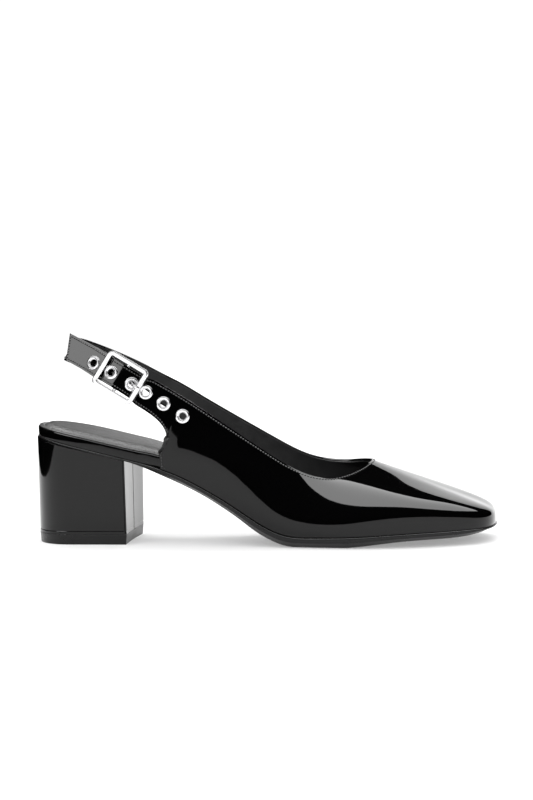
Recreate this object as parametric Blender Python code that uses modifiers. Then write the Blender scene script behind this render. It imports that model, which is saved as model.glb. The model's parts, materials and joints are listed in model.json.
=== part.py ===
# Slingback pump with a block heel: one right shoe, empty, standing on its heel and forefoot.
# +X runs to the toe, +Z is up and -Y is the shoe's outer side, where the buckle sits.
# The origin is the centre of the heel's tread, on the floor. Sizes below are in millimetres.
import math

import bmesh
import bpy
import numpy as np
from mathutils import Matrix, Vector
from mathutils.bvhtree import BVHTree

MM = 0.001
GAP = 0.3
FLOOR = 0.0
FLAT = 0.12

# Leather, rubber and metal
WALL = 1.8
LEDGE = 0.7
SEAT_LEDGE = 0.15
SOLE_INSET = 3.2
SOLE_EDGE = 0.45
SEAT_END = 119.0
SOCK = 2.0
PAD = 1.3
PAD_MARGIN = 5.5

# Heel block
HEEL_FRONT = 26.5
HEEL_BACK = -26.5
HEEL_ROUND = 21.0
TREAD_HALF = 23.0
SEAT_HALF = 25.6
TOP_PIECE = 5.5
BREAST_HOLLOW = 1.2
HEEL_SPREAD = -0.3

# Buckle: its middle, its slope down to the toe, and its bars
BUCKLE_X = 26.7
BUCKLE_Z = 91.4
BUCKLE_SLOPE = math.radians(31.5)
BUCKLE_LEAN = math.radians(8)
FRAME_LONG = 25.1
FRAME_WIDE = 21.4
FRAME_BAR = 1.35
FRAME_Y = -31.9
FRAME_CORNER = 3.4
BAR_RADIUS = 0.95
BAR_Y = -26.9
BAR_HOLE = 1.25
LOOP_RADIUS = 2.5
LOOP_HALF = 6.5
SLOT_HALF = 2.3
PRONG_RADIUS = 0.85

# Eyelets
EYELET_HOLE = 1.9
EYELET_RIM = 3.9
EYELET_BARREL = 2.45
STRAP_HOLE = 2.8
EYELET_DOME = 0.7
EYELET_SPAN = 2.8
EYELET_WASHER = 3.1

# Straps
STRAP_FACE = -29.3
STRAP_PEAK = 2.7
BAR_REACH = 11.5
TIP_TURN = math.radians(25)
SLING_HALF = 6.7
SLING_SIDE = 27.4


def table(names, *rows):
    """Rows of sizes, read by the name of their column."""
    return {name: [row[i] for row in rows] for i, name in enumerate(names.split())}


# Plan outline of the last's feather line: outer and inner edge at each length
OUTLINE = table(
    "x outer inner",
    (-22.5, -12.5, 12.5),
    (-12, -21.3, 21.3),
    (4, -25.3, 25.0),
    (30, -26.5, 23.8),
    (60, -27.6, 21.2),
    (90, -30.6, 22.6),
    (120, -35.0, 30.0),
    (145, -38.0, 36.8),
    (165, -37.5, 39.5),
    (185, -33.6, 38.6),
    (203, -26.4, 35.0),
    (215, -19.6, 29.6),
    (221.8, -11.0, 22.0),
    (224.2, -1.5, 12.0),
)
HEEL_POINT = -26.0

# Side line of the sole: its top, which is the feather line, and its bottom
SOLE = table(
    "x top bottom",
    (-26, 59.3, 58.1),
    (-10, 55.4, 54.2),
    (5, 52.1, 50.9),
    (20, 48.6, 47.4),
    (30, 46.2, 45.0),
    (38, 44.1, 42.0),
    (48, 40.8, 37.4),
    (58.5, 36.6, 32.5),
    (69, 31.3, 27.2),
    (79.5, 25.5, 20.9),
    (90, 18.9, 13.8),
    (98, 13.8, 8.0),
    (106, 9.4, 3.6),
    (113, 6.7, 0.9),
    (120, 5.5, 0),
    (132, 5.4, 0),
    (146, 5.7, 0),
    (160, 6.3, 1.2),
    (176, 7.2, 2.9),
    (196, 7.8, 3.7),
    (212, 8.2, 4.7),
    (225, 8.4, 7.2),
)

# Top of the heel seat, on which the sock lies
SEAT = table(
    "x z",
    (-26, 64.0),
    (-16.5, 62.2),
    (-9, 60.7),
    (0, 58.9),
    (12, 56.2),
    (28, 52.5),
    (46, 48.2),
    (60, 43.2),
    (75, 35.2),
    (90, 25.0),
    (103, 15.4),
    (112, 9.8),
    (120, 6.8),
)

# Ribs of the last, by distance along the feather line from the toe's front. Each rib is a conic
# from the feather line to the topline: its shoulder stands `out` beyond the line between them,
# at `rise` of the height and `run` of the way in, and `full` pulls the rib towards it. The inner
# side has its own bow.
RIBS = table(
    "from_toe edge_x edge_outer edge_inner edge_z inner_lift run out rise full inner_out inner_rise inner_full",
    (0, 158.0, 3.0, 3.0, 43.1, 0.0, 0.0, 0.6, 0.25, 6.0, 0.6, 0.25, 6.0),
    (12, 157.2, -3.0, 9.0, 42.5, 0.7, 0.0, 0.7, 0.28, 5.5, 0.7, 0.28, 5.5),
    (22, 155.4, -8.2, 14.2, 41.3, 1.6, 0.0, 0.95, 0.33, 4.4, 0.95, 0.33, 4.4),
    (32, 152.9, -12.8, 18.8, 39.9, 2.6, 0.0, 1.4, 0.41, 3.3, 1.4, 0.41, 3.3),
    (45, 149.3, -17.8, 23.4, 38.4, 3.6, 0.0, 2.0, 0.51, 2.6, 2.0, 0.51, 2.6),
    (60, 144.7, -22.4, 27.0, 37.1, 4.3, 0.0, 2.7, 0.57, 2.1, 2.6, 0.57, 2.1),
    (80, 137.3, -26.7, 30.2, 36.5, 4.6, 0.06, 3.6, 0.47, 1.8, 3.2, 0.5, 1.7),
    (100, 127.3, -29.2, 31.4, 38.8, 3.2, 0.18, 4.4, 0.26, 1.6, 3.3, 0.45, 1.35),
    (120, 115.6, -30.0, 30.6, 44.4, 1.4, 0.32, 4.8, 0.18, 1.5, 3.1, 0.47, 1.15),
    (140, 103.0, -29.6, 29.0, 52.4, 0.2, 0.42, 5.1, 0.27, 1.5, 2.8, 0.5, 1.0),
    (160, 90.2, -29.1, 27.9, 60.9, -0.8, 0.5, 5.0, 0.41, 1.5, 2.6, 0.5, 1.0),
    (180, 77.3, -28.6, 27.4, 69.5, -1.9, 0.5, 4.2, 0.37, 1.5, 2.2, 0.5, 1.0),
    (200, 64.6, -28.3, 27.2, 77.9, -2.8, 0.5, 3.0, 0.14, 1.5, 1.5, 0.5, 1.0),
)

# Back edge of a quarter, from the sole up the cut-out, with the topline above each point
BACK_EDGE = table(
    "low_x low_z high_x high_z low_y high_y out",
    (47.0, 48.8, 61.6, 79.8, -28.7, -28.3, 0.3),
    (50.0, 54.6, 58.9, 81.5, -28.85, -28.3, 0.15),
    (50.9, 59.4, 56.4, 83.0, -28.85, -28.3, 0.1),
    (49.7, 63.8, 53.8, 84.6, -28.9, -28.3, 0.1),
    (46.6, 68.0, 50.9, 86.3, -29.2, -28.3, 0.05),
    (42.0, 71.9, 47.4, 88.3, -29.8, -28.3, 0.0),
    (37.4, 75.0, 43.9, 90.1, -30.45, -28.3, 0.0),
)
INNER_DROP = 2.9

# Extension strap in the buckle's own lengths: along to the toe, lower and upper edge across it
EXTENSION = table(
    "along low high",
    (13.5, -8.3, 7.3),
    (11.5, -7.7, 7.0),
    (9.5, -7.1, 6.9),
    (3.2, -6.9, 6.9),
    (1.2, -6.9, 6.9),
    (-1.2, -6.9, 6.9),
    (-3.2, -6.9, 6.9),
    (-10.5, -7.0, 6.9),
    (-12.5, -7.3, 6.9),
    (-22, -7.2, 7.0),
    (-35.2, -7.7, 6.0),
)
TIP_RAKE = 6.4

# Middle line of the sling, from the inner quarter round the back to the buckle's middle bar
SLING = table(
    "x y z",
    (33.5, 27.2, 85.2),
    (24, 26.9, 90.2),
    (14, 25.6, 95.1),
    (5, 22.2, 99.4),
    (-2, 16.0, 102.9),
    (-6.2, 8.0, 105.2),
    (-7.4, 0, 105.9),
    (-6.0, -8.2, 105.8),
    (-1.5, -15.2, 104.9),
    (5, -20.4, 103.0),
    (12.5, -23.9, 99.9),
    (18.5, -26.0, 96.4),
    (22, -26.9, 94.3),
    (25.2, -27.4, 92.3),
)
SLING_TURN = math.radians(29)

# Eyelets along the extension strap, in the buckle's own lengths
EYELETS = table(
    "along across",
    (39.3, -0.6),
    (27.0, -0.1),
    (15.6, 0.2),
    (7.1, 0.0),
    (-5.9, -0.3),
    (-17.4, -0.9),
)

# Prong: along the strap and out from the shoe's middle plane
PRONG = table(
    "along y",
    (1.7, -27.0),
    (4.9, -27.0),
    (6.2, -27.6),
    (6.9, -28.8),
    (7.3, -30.4),
    (7.8, -32.4),
    (8.9, -33.9),
    (10.6, -34.4),
    (12.2, -34.0),
)

# Stations at which the solids are cut into facets
RIB_STATIONS = (0, 5, 9, 13, 17, 21, 25, 30, 36, 43, 52, 62, 73, 85, 98, 112, 122, 132, 142, 152, 164, 176,
                188, 200)
RIB_POINTS = 9
SOLE_STATIONS = RIB_STATIONS[1:] + (212, 224, 236, 246, 254, 261, 267, 273, 278, 282)


def spline(knots, values):
    """A natural cubic curve through the values, as a function of the knot."""
    knots = np.array(knots, float)
    values = np.array(values, float)
    step = np.diff(knots)
    count = len(knots)
    left = np.eye(count)
    right = np.zeros(values.shape)
    for i in range(1, count - 1):
        left[i, i - 1:i + 2] = step[i - 1], 2 * (step[i - 1] + step[i]), step[i]
        right[i] = 6 * ((values[i + 1] - values[i]) / step[i] - (values[i] - values[i - 1]) / step[i - 1])
    bend = np.linalg.solve(left, right)

    def at(knot):
        i = int(np.clip(np.searchsorted(knots, knot) - 1, 0, count - 2))
        a = (knots[i + 1] - knot) / step[i]
        b = 1 - a
        straight = a * values[i] + b * values[i + 1]
        return straight + ((a ** 3 - a) * bend[i] + (b ** 3 - b) * bend[i + 1]) * step[i] ** 2 / 6

    return at


def ease(x, low, high):
    """0 below low, 1 above high, and a smooth step between."""
    t = min(max((x - low) / (high - low), 0), 1)
    return t * t * (3 - 2 * t)


def outline_curve():
    """The feather line in plan, as a function of its distance from the toe's front centre.

    Negative distances run along the outer side, positive ones along the inner side.
    """
    outer = list(zip(OUTLINE["x"], OUTLINE["outer"]))
    inner = list(zip(OUTLINE["x"], OUTLINE["inner"]))
    loop = inner[2::-1] + [(HEEL_POINT, 0)] + outer + inner[::-1] + [(HEEL_POINT, 0)] + outer[:3]
    points = np.array(loop, float)
    way = np.concatenate([[0], np.cumsum(np.linalg.norm(np.diff(points, axis=0), axis=1))])
    toe = (way[3 + len(outer)] + way[4 + len(outer)]) / 2
    return spline(way - toe, points), way[3] - toe, way[4 + 2 * len(outer)] - toe


OUTLINE_AT, OUTER_END, INNER_END = outline_curve()
SOLE_TOP = spline(SOLE["x"], SOLE["top"])
SOLE_BOTTOM = spline(SOLE["x"], SOLE["bottom"])
SEAT_TOP = spline(SEAT["x"], SEAT["z"])


def outline_point(from_toe, side, inset=0.0):
    """Plan point of the feather line, moved in from the edge; side is -1 outer, 1 inner."""
    reach = -OUTER_END if side < 0 else INNER_END
    way = side * min(from_toe, reach)
    here = OUTLINE_AT(way)
    ahead = OUTLINE_AT(way + 0.5) - OUTLINE_AT(way - 0.5)
    ahead /= np.linalg.norm(ahead)
    return here + inset * np.array([-ahead[1], ahead[0]])


def outward(from_toe, side):
    """Direction in plan that leaves the feather line squarely."""
    return outline_point(from_toe, side, -1) - outline_point(from_toe, side)


def conic(low, shoulder, high, full, count):
    """Points of a conic rib, closer together where it bends."""
    t = np.linspace(0, 1, 241)[:, None]
    weight = [(1 - t) ** 2, 2 * full * t * (1 - t), t ** 2]
    points = (weight[0] * low + weight[1] * shoulder + weight[2] * high) / sum(weight)
    step = np.diff(points, axis=0)
    length = np.linalg.norm(step, axis=1)
    turn = np.concatenate([[0], np.arccos(np.clip(
        np.sum(step[1:] * step[:-1], axis=1) / (length[1:] * length[:-1]), -1, 1))])
    share = length / length.sum() + 0.6 * turn / math.pi
    way = np.concatenate([[0], np.cumsum(share)])
    picks = np.interp(np.linspace(0, way[-1], count), way, np.arange(len(way)))
    return np.array([[np.interp(p, np.arange(len(points)), points[:, k]) for k in range(3)] for p in picks])


def last_ribs(stations, count):
    """Ribs over the last from the outer quarter round the toe to the inner quarter."""
    columns = [name for name in RIBS if name != "from_toe"]
    knots = [-way for way in RIBS["from_toe"][:0:-1]] + RIBS["from_toe"]
    rows = []
    for side in (-1, 1):
        order = range(len(RIBS["from_toe"]) - 1, 0, -1) if side < 0 else range(len(RIBS["from_toe"]))
        for i in order:
            row = {name: RIBS[name][i] for name in columns}
            edge_y = row["edge_outer"] if side < 0 else row["edge_inner"]
            edge_z = row["edge_z"] + (0 if side < 0 else row["inner_lift"])
            bow = [row[("" if side < 0 else "inner_") + name] for name in ("out", "rise", "full")]
            rows.append([row["edge_x"], edge_y, edge_z, row["run"], *bow])
    column_at = spline(knots, rows)
    ways = [-way for way in stations[:0:-1]] + list(stations)
    ribs = []
    for way in ways:
        side = -1 if way < 0 else 1
        edge_x, edge_y, edge_z, run, out, rise, full = column_at(way)
        foot = outline_point(abs(way), side)
        low = np.array([foot[0], foot[1], SOLE_TOP(foot[0]) + GAP])
        high = np.array([edge_x, edge_y, edge_z])
        away = outward(abs(way), side)
        shoulder = low + run * (high - low)
        shoulder[:2] += out * away
        shoulder[2] = low[2] + rise * (high[2] - low[2])
        ribs.append(conic(low, shoulder, high, full, count))
    return ribs


def buckle_point(along, across, y):
    """A point in the buckle's own lengths: along to the toe, across upwards, and y square to its face."""
    cos, sin = math.cos(BUCKLE_SLOPE), math.sin(BUCKLE_SLOPE)
    in_by, up_by = math.sin(BUCKLE_LEAN), math.cos(BUCKLE_LEAN)
    rise = across * up_by - (y - STRAP_FACE) * in_by
    depth = across * in_by + (y - STRAP_FACE) * up_by
    return np.array([BUCKLE_X + along * cos + rise * sin, STRAP_FACE + depth, BUCKLE_Z - along * sin + rise * cos])


def extension_face(along):
    """Outer face of the extension strap: a low tent over the middle bar, then turned in at the tip."""
    tent = max(0.0, 1 - abs(along) / BAR_REACH)
    beyond = max(0.0, -along - BAR_REACH)
    return STRAP_FACE - STRAP_PEAK * min(tent, 0.93) + beyond * math.tan(TIP_TURN)


def straight_rib(low, high, out, count):
    """A rib of a quarter or strap, bowed out a little between its edges."""
    low, high = np.array(low, float), np.array(high, float)
    side = -1 if low[1] < 0 else 1
    shoulder = (low + high) / 2 + np.array([0, side * out, 0])
    return conic(low, shoulder, high, 1.0, count)


def extension_ribs(count):
    """Ribs from the strap's tip along the extension and down the outer quarter's back edge."""
    ribs = []
    for along, low, high in reversed(list(zip(*EXTENSION.values()))):
        rake = TIP_RAKE / 2 if along == EXTENSION["along"][-1] else 0
        face = extension_face(along)
        ribs.append(straight_rib(buckle_point(along + rake, low, face),
                                 buckle_point(along - rake, high, face), 0, count))
    for low_x, low_z, high_x, high_z, low_y, high_y, out in reversed(list(zip(*BACK_EDGE.values()))):
        ribs.append(straight_rib((low_x, low_y, low_z), (high_x, high_y, high_z), out, count))
    return ribs


def sling_ribs(count):
    """Ribs up the inner quarter's back edge and along the sling to the buckle."""
    ribs = []
    inner_low = spline((0, len(BACK_EDGE["out"])), (outline_point(200, 1)[1], 27.0))
    for i, (low_x, low_z, high_x, high_z, _, _, out) in enumerate(zip(*BACK_EDGE.values())):
        low_y = inner_low(i + 1)
        low = (low_x, low_y, low_z - INNER_DROP * i / len(BACK_EDGE["out"]))
        ribs.append(straight_rib(low, (high_x, 27.2, high_z - INNER_DROP), out, count))
    for middle in zip(*SLING.values()):
        lean = -math.sin(BUCKLE_LEAN) * middle[1] / SLING_SIDE
        half = SLING_HALF * np.array([math.sin(SLING_TURN), lean, math.cos(SLING_TURN)])
        ribs.append(straight_rib(np.array(middle) - half, np.array(middle) + half, 0, count))
    return ribs


def material(name, colour, roughness, metallic=0.0, coat=0.0):
    shade = bpy.data.materials.new(name)
    shade.use_nodes = True
    shader = shade.node_tree.nodes["Principled BSDF"]
    shader.inputs["Base Color"].default_value = (*colour, 1)
    shader.inputs["Roughness"].default_value = roughness
    shader.inputs["Metallic"].default_value = metallic
    shader.inputs["Coat Weight"].default_value = coat
    return shade


def collection(name):
    group = bpy.data.collections.new(name)
    bpy.context.scene.collection.children.link(group)
    return group


def add_object(name, mesh, shade, group):
    item = bpy.data.objects.new(name, mesh)
    group.objects.link(item)
    if shade:
        mesh.materials.clear()
        mesh.materials.append(shade)
    return item


def mesh_from_bmesh(name, shape, sharp=math.radians(35)):
    mesh = bpy.data.meshes.new(name)
    bmesh.ops.recalc_face_normals(shape, faces=shape.faces)
    if shape.calc_volume(signed=True) < 0:
        bmesh.ops.reverse_faces(shape, faces=shape.faces)
    shape.to_mesh(mesh)
    shape.free()
    mesh.shade_smooth()
    mesh.set_sharp_from_angle(angle=sharp)
    return mesh


def sheet_mesh(name, rows):
    """A grid laid on rows of points, as an open surface."""
    shape = bmesh.new()
    bmesh.ops.create_grid(shape, x_segments=len(rows[0]) - 1, y_segments=len(rows) - 1, size=1)
    shape.verts.ensure_lookup_table()
    for vert, point in zip(shape.verts, (point for row in rows for point in row[::-1])):
        vert.co = Vector(point) * MM
    mesh = bpy.data.meshes.new(name)
    shape.to_mesh(mesh)
    shape.free()
    return mesh


def loft_mesh(name, rings):
    """A closed solid through rings that have the same number of points."""
    shape = bmesh.new()
    verts = [[shape.verts.new(Vector(point) * MM) for point in ring] for ring in rings]
    for near, far in zip(verts, verts[1:]):
        for i in range(len(near)):
            j = (i + 1) % len(near)
            shape.faces.new((near[i], near[j], far[j], far[i]))
    caps = [shape.faces.new(verts[0][::-1]), shape.faces.new(verts[-1])]
    bmesh.ops.triangulate(shape, faces=caps)
    return mesh_from_bmesh(name, shape)


def cutter(name, mesh, group):
    tool = add_object(name, mesh, None, group)
    tool.hide_render = True
    tool.display_type = "WIRE"
    return tool


def boolean(item, tool, operation):
    cut = item.modifiers.new(tool.name, "BOOLEAN")
    cut.operation = operation
    cut.solver = "EXACT"
    cut.object = tool


def cylinder_mesh(name, start, end, radius, sides):
    """A cylinder between two points in millimetres."""
    start, end = Vector(start) * MM, Vector(end) * MM
    shape = bmesh.new()
    bmesh.ops.create_cone(shape, cap_ends=True, segments=sides, radius1=radius * MM,
                          radius2=radius * MM, depth=(end - start).length)
    turn = (end - start).to_track_quat("Z", "Y").to_matrix().to_4x4()
    bmesh.ops.transform(shape, matrix=Matrix.Translation((start + end) / 2) @ turn, verts=shape.verts)
    mesh = bpy.data.meshes.new(name)
    shape.to_mesh(mesh)
    shape.free()
    return mesh


def tube_mesh(name, points, radius, closed=False, resolution=2, taper=None):
    """A round wire along points, as a mesh with its caps welded on."""
    wire = bpy.data.curves.new(name, "CURVE")
    wire.dimensions = "3D"
    wire.bevel_depth = radius * MM
    wire.bevel_resolution = resolution
    wire.use_fill_caps = not closed
    line = wire.splines.new("POLY")
    line.points.add(len(points) - 1)
    for i, (spot, point) in enumerate(zip(line.points, points)):
        spot.co = (*(Vector(point) * MM), 1)
        spot.radius = taper[i] if taper else 1
    line.use_cyclic_u = closed
    holder = bpy.data.objects.new(name, wire)
    bpy.context.scene.collection.objects.link(holder)
    mesh = bpy.data.meshes.new_from_object(holder.evaluated_get(bpy.context.evaluated_depsgraph_get()))
    bpy.data.objects.remove(holder)
    bpy.data.curves.remove(wire)
    shape = bmesh.new()
    shape.from_mesh(mesh)
    bmesh.ops.remove_doubles(shape, verts=shape.verts, dist=0.02 * MM)
    bpy.data.meshes.remove(mesh)
    return mesh_from_bmesh(name, shape, math.radians(50))


def eyelet_places():
    """Each eyelet's middle on the strap's outer face, and the direction that leaves the face."""
    rows = extension_ribs(RIB_POINTS) + last_ribs(RIB_STATIONS, RIB_POINTS)[:len(RIB_STATIONS)]
    points = [Vector(point) for row in rows for point in row]
    faces = [(i + j, i + j + 1, i + j + RIB_POINTS + 1, i + j + RIB_POINTS)
             for i in range(0, len(points) - RIB_POINTS, RIB_POINTS) for j in range(RIB_POINTS - 1)]
    face = BVHTree.FromPolygons(points, faces)

    def on_face(along, across):
        start = Vector(buckle_point(along, across, -60))
        return face.ray_cast(start, Vector(buckle_point(along, across, -59)) - start)[0]

    places = []
    for along, across in zip(*EYELETS.values()):
        heelward, toeward = on_face(along - EYELET_SPAN, across), on_face(along + EYELET_SPAN, across)
        below, above = on_face(along, across - EYELET_SPAN), on_face(along, across + EYELET_SPAN)
        away = (toeward - heelward).cross(above - below).normalized()
        places.append(((heelward + toeward + below + above) / 4, away))
    return places


def build_upper(shade, group, cutters):
    """Vamp and quarters as one wall, with the extension strap and the sling."""
    rows = extension_ribs(RIB_POINTS) + last_ribs(RIB_STATIONS, RIB_POINTS) + sling_ribs(RIB_POINTS)
    upper = add_object("upper", sheet_mesh("upper", rows), shade, group)
    wall = upper.modifiers.new("wall", "SOLIDIFY")
    wall.thickness = WALL * MM
    wall.offset = -1
    wall.use_even_offset = True
    wall.use_quality_normals = True
    for side, low, high in (("lower", -LOOP_HALF, -SLOT_HALF), ("upper", SLOT_HALF, LOOP_HALF)):
        loop = cylinder_mesh(side, buckle_point(0, low, BAR_Y), buckle_point(0, high, BAR_Y),
                             LOOP_RADIUS, 16)
        boolean(upper, cutter("sling_loop_" + side, loop, cutters), "UNION")
    slot = cylinder_mesh("slot", buckle_point(0, -SLOT_HALF, BAR_Y), buckle_point(0, SLOT_HALF, BAR_Y),
                         LOOP_RADIUS + GAP, 16)
    boolean(upper, cutter("sling_slot", slot, cutters), "DIFFERENCE")
    reach = FRAME_WIDE
    bore = cylinder_mesh("bore", buckle_point(0, -reach, BAR_Y), buckle_point(0, reach, BAR_Y), BAR_HOLE, 12)
    boolean(upper, cutter("sling_bore", bore, cutters), "DIFFERENCE")
    for number, (middle, away) in enumerate(eyelet_places(), 1):
        hole = cylinder_mesh("hole", middle - away * 4, middle + away * 3, STRAP_HOLE, 12)
        boolean(upper, cutter("eyelet_hole_" + str(number), hole, cutters), "DIFFERENCE")
    return upper


def sole_bottom(x):
    """Underside of the sole, flat on the floor where it comes within a hair of it."""
    z = SOLE_BOTTOM(min(x, SOLE["x"][-1]))
    return z if z > FLOOR + FLAT else FLOOR


def sole_ring(from_toe):
    """Section of the outsole: ledge, upright edge, and the bottom drawn in under it."""
    ring = []
    for side in (-1, 1):
        foot_x = outline_point(from_toe, side)[0]
        ledge = SEAT_LEDGE + (LEDGE - SEAT_LEDGE) * ease(foot_x, HEEL_FRONT, 60)
        rim = outline_point(from_toe, side, -ledge)
        inset = SOLE_INSET * ease(rim[0], HEEL_FRONT + 4, 60) + 0.4
        under = outline_point(from_toe, side, inset)
        top = SOLE_TOP(rim[0])
        bottom = sole_bottom(under[0])
        waist = top + (sole_bottom(rim[0]) - top) * SOLE_EDGE
        points = [(*rim, top), (*rim, waist), (*under, bottom)]
        ring += points if side > 0 else points[::-1]
    return ring


def build_outsole(shade, group):
    rings = [sole_ring(way) for way in SOLE_STATIONS]
    return add_object("outsole", loft_mesh("outsole", rings), shade, group)


def inner_inset(x):
    """How far a piece on the sole stays in from the feather line, to clear the upper's wall."""
    return (WALL + 0.7) * ease(x, 33, 44)


def build_heel_seat(shade, group):
    """Board of the heel seat and waist, whose covered rim shows behind the quarters."""
    rings = []
    first = next(i for i, way in enumerate(SOLE_STATIONS) if outline_point(way, 1)[0] < SEAT_END)
    for way in SOLE_STATIONS[first:]:
        ring = []
        for side in (-1, 1):
            x = outline_point(way, side)[0]
            edge = outline_point(way, side, inner_inset(x))
            low, high = SOLE_TOP(edge[0]) + GAP, SEAT_TOP(edge[0])
            soft = outline_point(way, side, inner_inset(x) + 0.8)
            points = [(*soft, high), (*edge, high - 0.9), (*edge, low)]
            ring += points if side > 0 else points[::-1]
        rings.append(ring)
    return add_object("heel_seat", loft_mesh("heel_seat", rings), shade, group)


def footbed(x):
    """Top of what the sock lies on: the heel seat, then the sole."""
    return max(SEAT_TOP(x) if x < SEAT_END + 1 else 0, SOLE_TOP(x)) + GAP


def build_insole(shade, group):
    """Padded sock: a thin rim with a raised pad inside a groove."""
    rings = []
    for way in SOLE_STATIONS:
        ring = []
        for side in (-1, 1):
            x = outline_point(way, side)[0]
            inset = inner_inset(x) + 1.0
            edge = outline_point(way, side, inset)
            room = np.linalg.norm(outline_point(way, -1) - outline_point(way, 1)) / 2
            pad_rise = PAD * ease(room, 9, 16)
            slope = outline_point(way, side, min(inset + PAD_MARGIN - 2.5, room * 0.8))
            pad = outline_point(way, side, min(inset + PAD_MARGIN, room * 0.9))
            base = footbed(edge[0])
            points = [(*pad, footbed(pad[0]) + SOCK + pad_rise), (*slope, footbed(slope[0]) + SOCK - 0.2),
                      (*edge, base + SOCK * 0.6), (*edge, base)]
            ring += points if side > 0 else points[::-1]
        rings.append(ring)
    return add_object("insole", loft_mesh("insole", rings), shade, group)


def heel_plan(half, grow=0.0):
    """Outline of the heel in plan: flat breast, straight sides and a rounded back."""
    sides, back = 4, 14
    front = HEEL_FRONT + grow
    root = HEEL_BACK + HEEL_ROUND
    points = [(root + (front - root) * i / sides, half) for i in range(sides, 0, -1)]
    for i in range(back + 1):
        angle = math.pi * (0.5 + i / back)
        points.append((root + (HEEL_ROUND + grow) * math.cos(angle), half * math.sin(angle)))
    points += [(root + (front - root) * i / sides, -half) for i in range(1, sides + 1)]
    breast = 6
    for i in range(1, breast):
        y = -half + 2 * half * i / breast
        points.append((front - BREAST_HOLLOW * (1 - (y / half) ** 2), y))
    return points


def build_heel(shade, group):
    """Covered block, cut under the sloping seat."""
    levels = 6
    rings = []
    for level in range(levels + 1):
        part = level / levels
        half = TREAD_HALF + (SEAT_HALF - TREAD_HALF) * part
        ring = []
        for x, y in heel_plan(half, HEEL_SPREAD * part):
            low = TOP_PIECE + GAP
            high = SOLE_BOTTOM(x) - GAP
            ring.append((x, y, low + (high - low) * part))
        rings.append(ring)
    return add_object("heel", loft_mesh("heel", rings), shade, group)


def build_top_piece(shade, group):
    """Rubber tread of the heel, drawn in a little where it meets the floor."""
    rings = []
    for z, shrink in ((FLOOR, 0.7), (0.7, 0.1), (TOP_PIECE, 0.0)):
        rings.append([(x, y, z) for x, y in heel_plan(TREAD_HALF - shrink, -shrink)])
    return add_object("top_piece", loft_mesh("top_piece", rings), shade, group)


def build_eyelets(shade, group):
    """Turned rings through the strap, each set square to the strap's face."""
    profile = [
        (EYELET_HOLE, EYELET_DOME + 0.1),
        ((EYELET_HOLE + EYELET_RIM) / 2, EYELET_DOME + 0.25),
        (EYELET_RIM - 0.3, EYELET_DOME - 0.05),
        (EYELET_RIM, GAP),
        (EYELET_BARREL, GAP),
        (EYELET_BARREL, -WALL - GAP),
        (EYELET_WASHER, -WALL - GAP),
        (EYELET_WASHER, -WALL - 0.6),
        (EYELET_HOLE, -WALL - 0.6),
        (EYELET_HOLE, EYELET_DOME + 0.1),
    ]
    for number, (middle, away) in enumerate(eyelet_places(), 1):
        shape = bmesh.new()
        verts = [shape.verts.new(Vector((r, 0, z)) * MM) for r, z in profile]
        for a, b in zip(verts, verts[1:]):
            shape.edges.new((a, b))
        mesh = bpy.data.meshes.new("eyelet")
        shape.to_mesh(mesh)
        shape.free()
        ring = add_object("eyelet_" + str(number), mesh, shade, group)
        turn = ring.modifiers.new("turn", "SCREW")
        turn.axis = "Z"
        turn.steps = 20
        turn.render_steps = 20
        turn.use_merge_vertices = True
        turn.merge_threshold = 0.00001
        turn.use_smooth_shade = True
        ring.location = middle * MM
        ring.rotation_euler = away.to_track_quat("Z", "Y").to_euler()


def frame_path():
    """Rounded rectangle of the buckle's frame, at the middle of its bars."""
    long_half = FRAME_LONG / 2 - FRAME_BAR
    wide_half = FRAME_WIDE / 2 - FRAME_BAR
    radius = FRAME_CORNER - FRAME_BAR
    points = []
    for corner, (a, b) in enumerate(((1, 1), (-1, 1), (-1, -1), (1, -1))):
        for i in range(5):
            angle = math.pi / 2 * (corner + i / 4)
            along = a * (long_half - radius) + radius * math.cos(angle)
            across = b * (wide_half - radius) + radius * math.sin(angle)
            points.append(buckle_point(along, across, FRAME_Y))
    return points


def build_buckle(shade, group, cutters):
    """Frame with its middle bar, whose ends drop behind the strap."""
    frame = add_object("buckle_frame", tube_mesh("frame", frame_path(), FRAME_BAR, closed=True), shade, group)
    side = FRAME_WIDE / 2 - FRAME_BAR
    bar_path = [buckle_point(0, across, y) for across, y in (
        (-side, FRAME_Y), (-side, BAR_Y - 0.9), (-side + 0.25, BAR_Y - 0.25), (-side + 0.9, BAR_Y),
        (side - 0.9, BAR_Y), (side - 0.25, BAR_Y - 0.25), (side, BAR_Y - 0.9), (side, FRAME_Y))]
    bar = cutter("middle_bar", tube_mesh("bar", bar_path, BAR_RADIUS), cutters)
    boolean(frame, bar, "UNION")


def build_prong(shade, group, cutters):
    """Pin from its ring on the middle bar, through the fourth eyelet, onto the frame."""
    path = [buckle_point(along, 0, y) for along, y in zip(*PRONG.values())]
    taper = [1.15, 1.15, 1.1, 1.0, 1.0, 1.0, 1.0, 0.95, 0.7]
    prong = add_object("buckle_prong", tube_mesh("prong", path, PRONG_RADIUS, taper=taper), shade, group)
    half = SLOT_HALF - 2 * GAP
    ring = cylinder_mesh("ring", buckle_point(0, -half, BAR_Y), buckle_point(0, half, BAR_Y),
                         LOOP_RADIUS - 0.2, 16)
    boolean(prong, cutter("prong_ring", ring, cutters), "UNION")
    bore = cylinder_mesh("bore", buckle_point(0, -4, BAR_Y), buckle_point(0, 4, BAR_Y), BAR_HOLE, 12)
    boolean(prong, cutter("prong_bore", bore, cutters), "DIFFERENCE")


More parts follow.
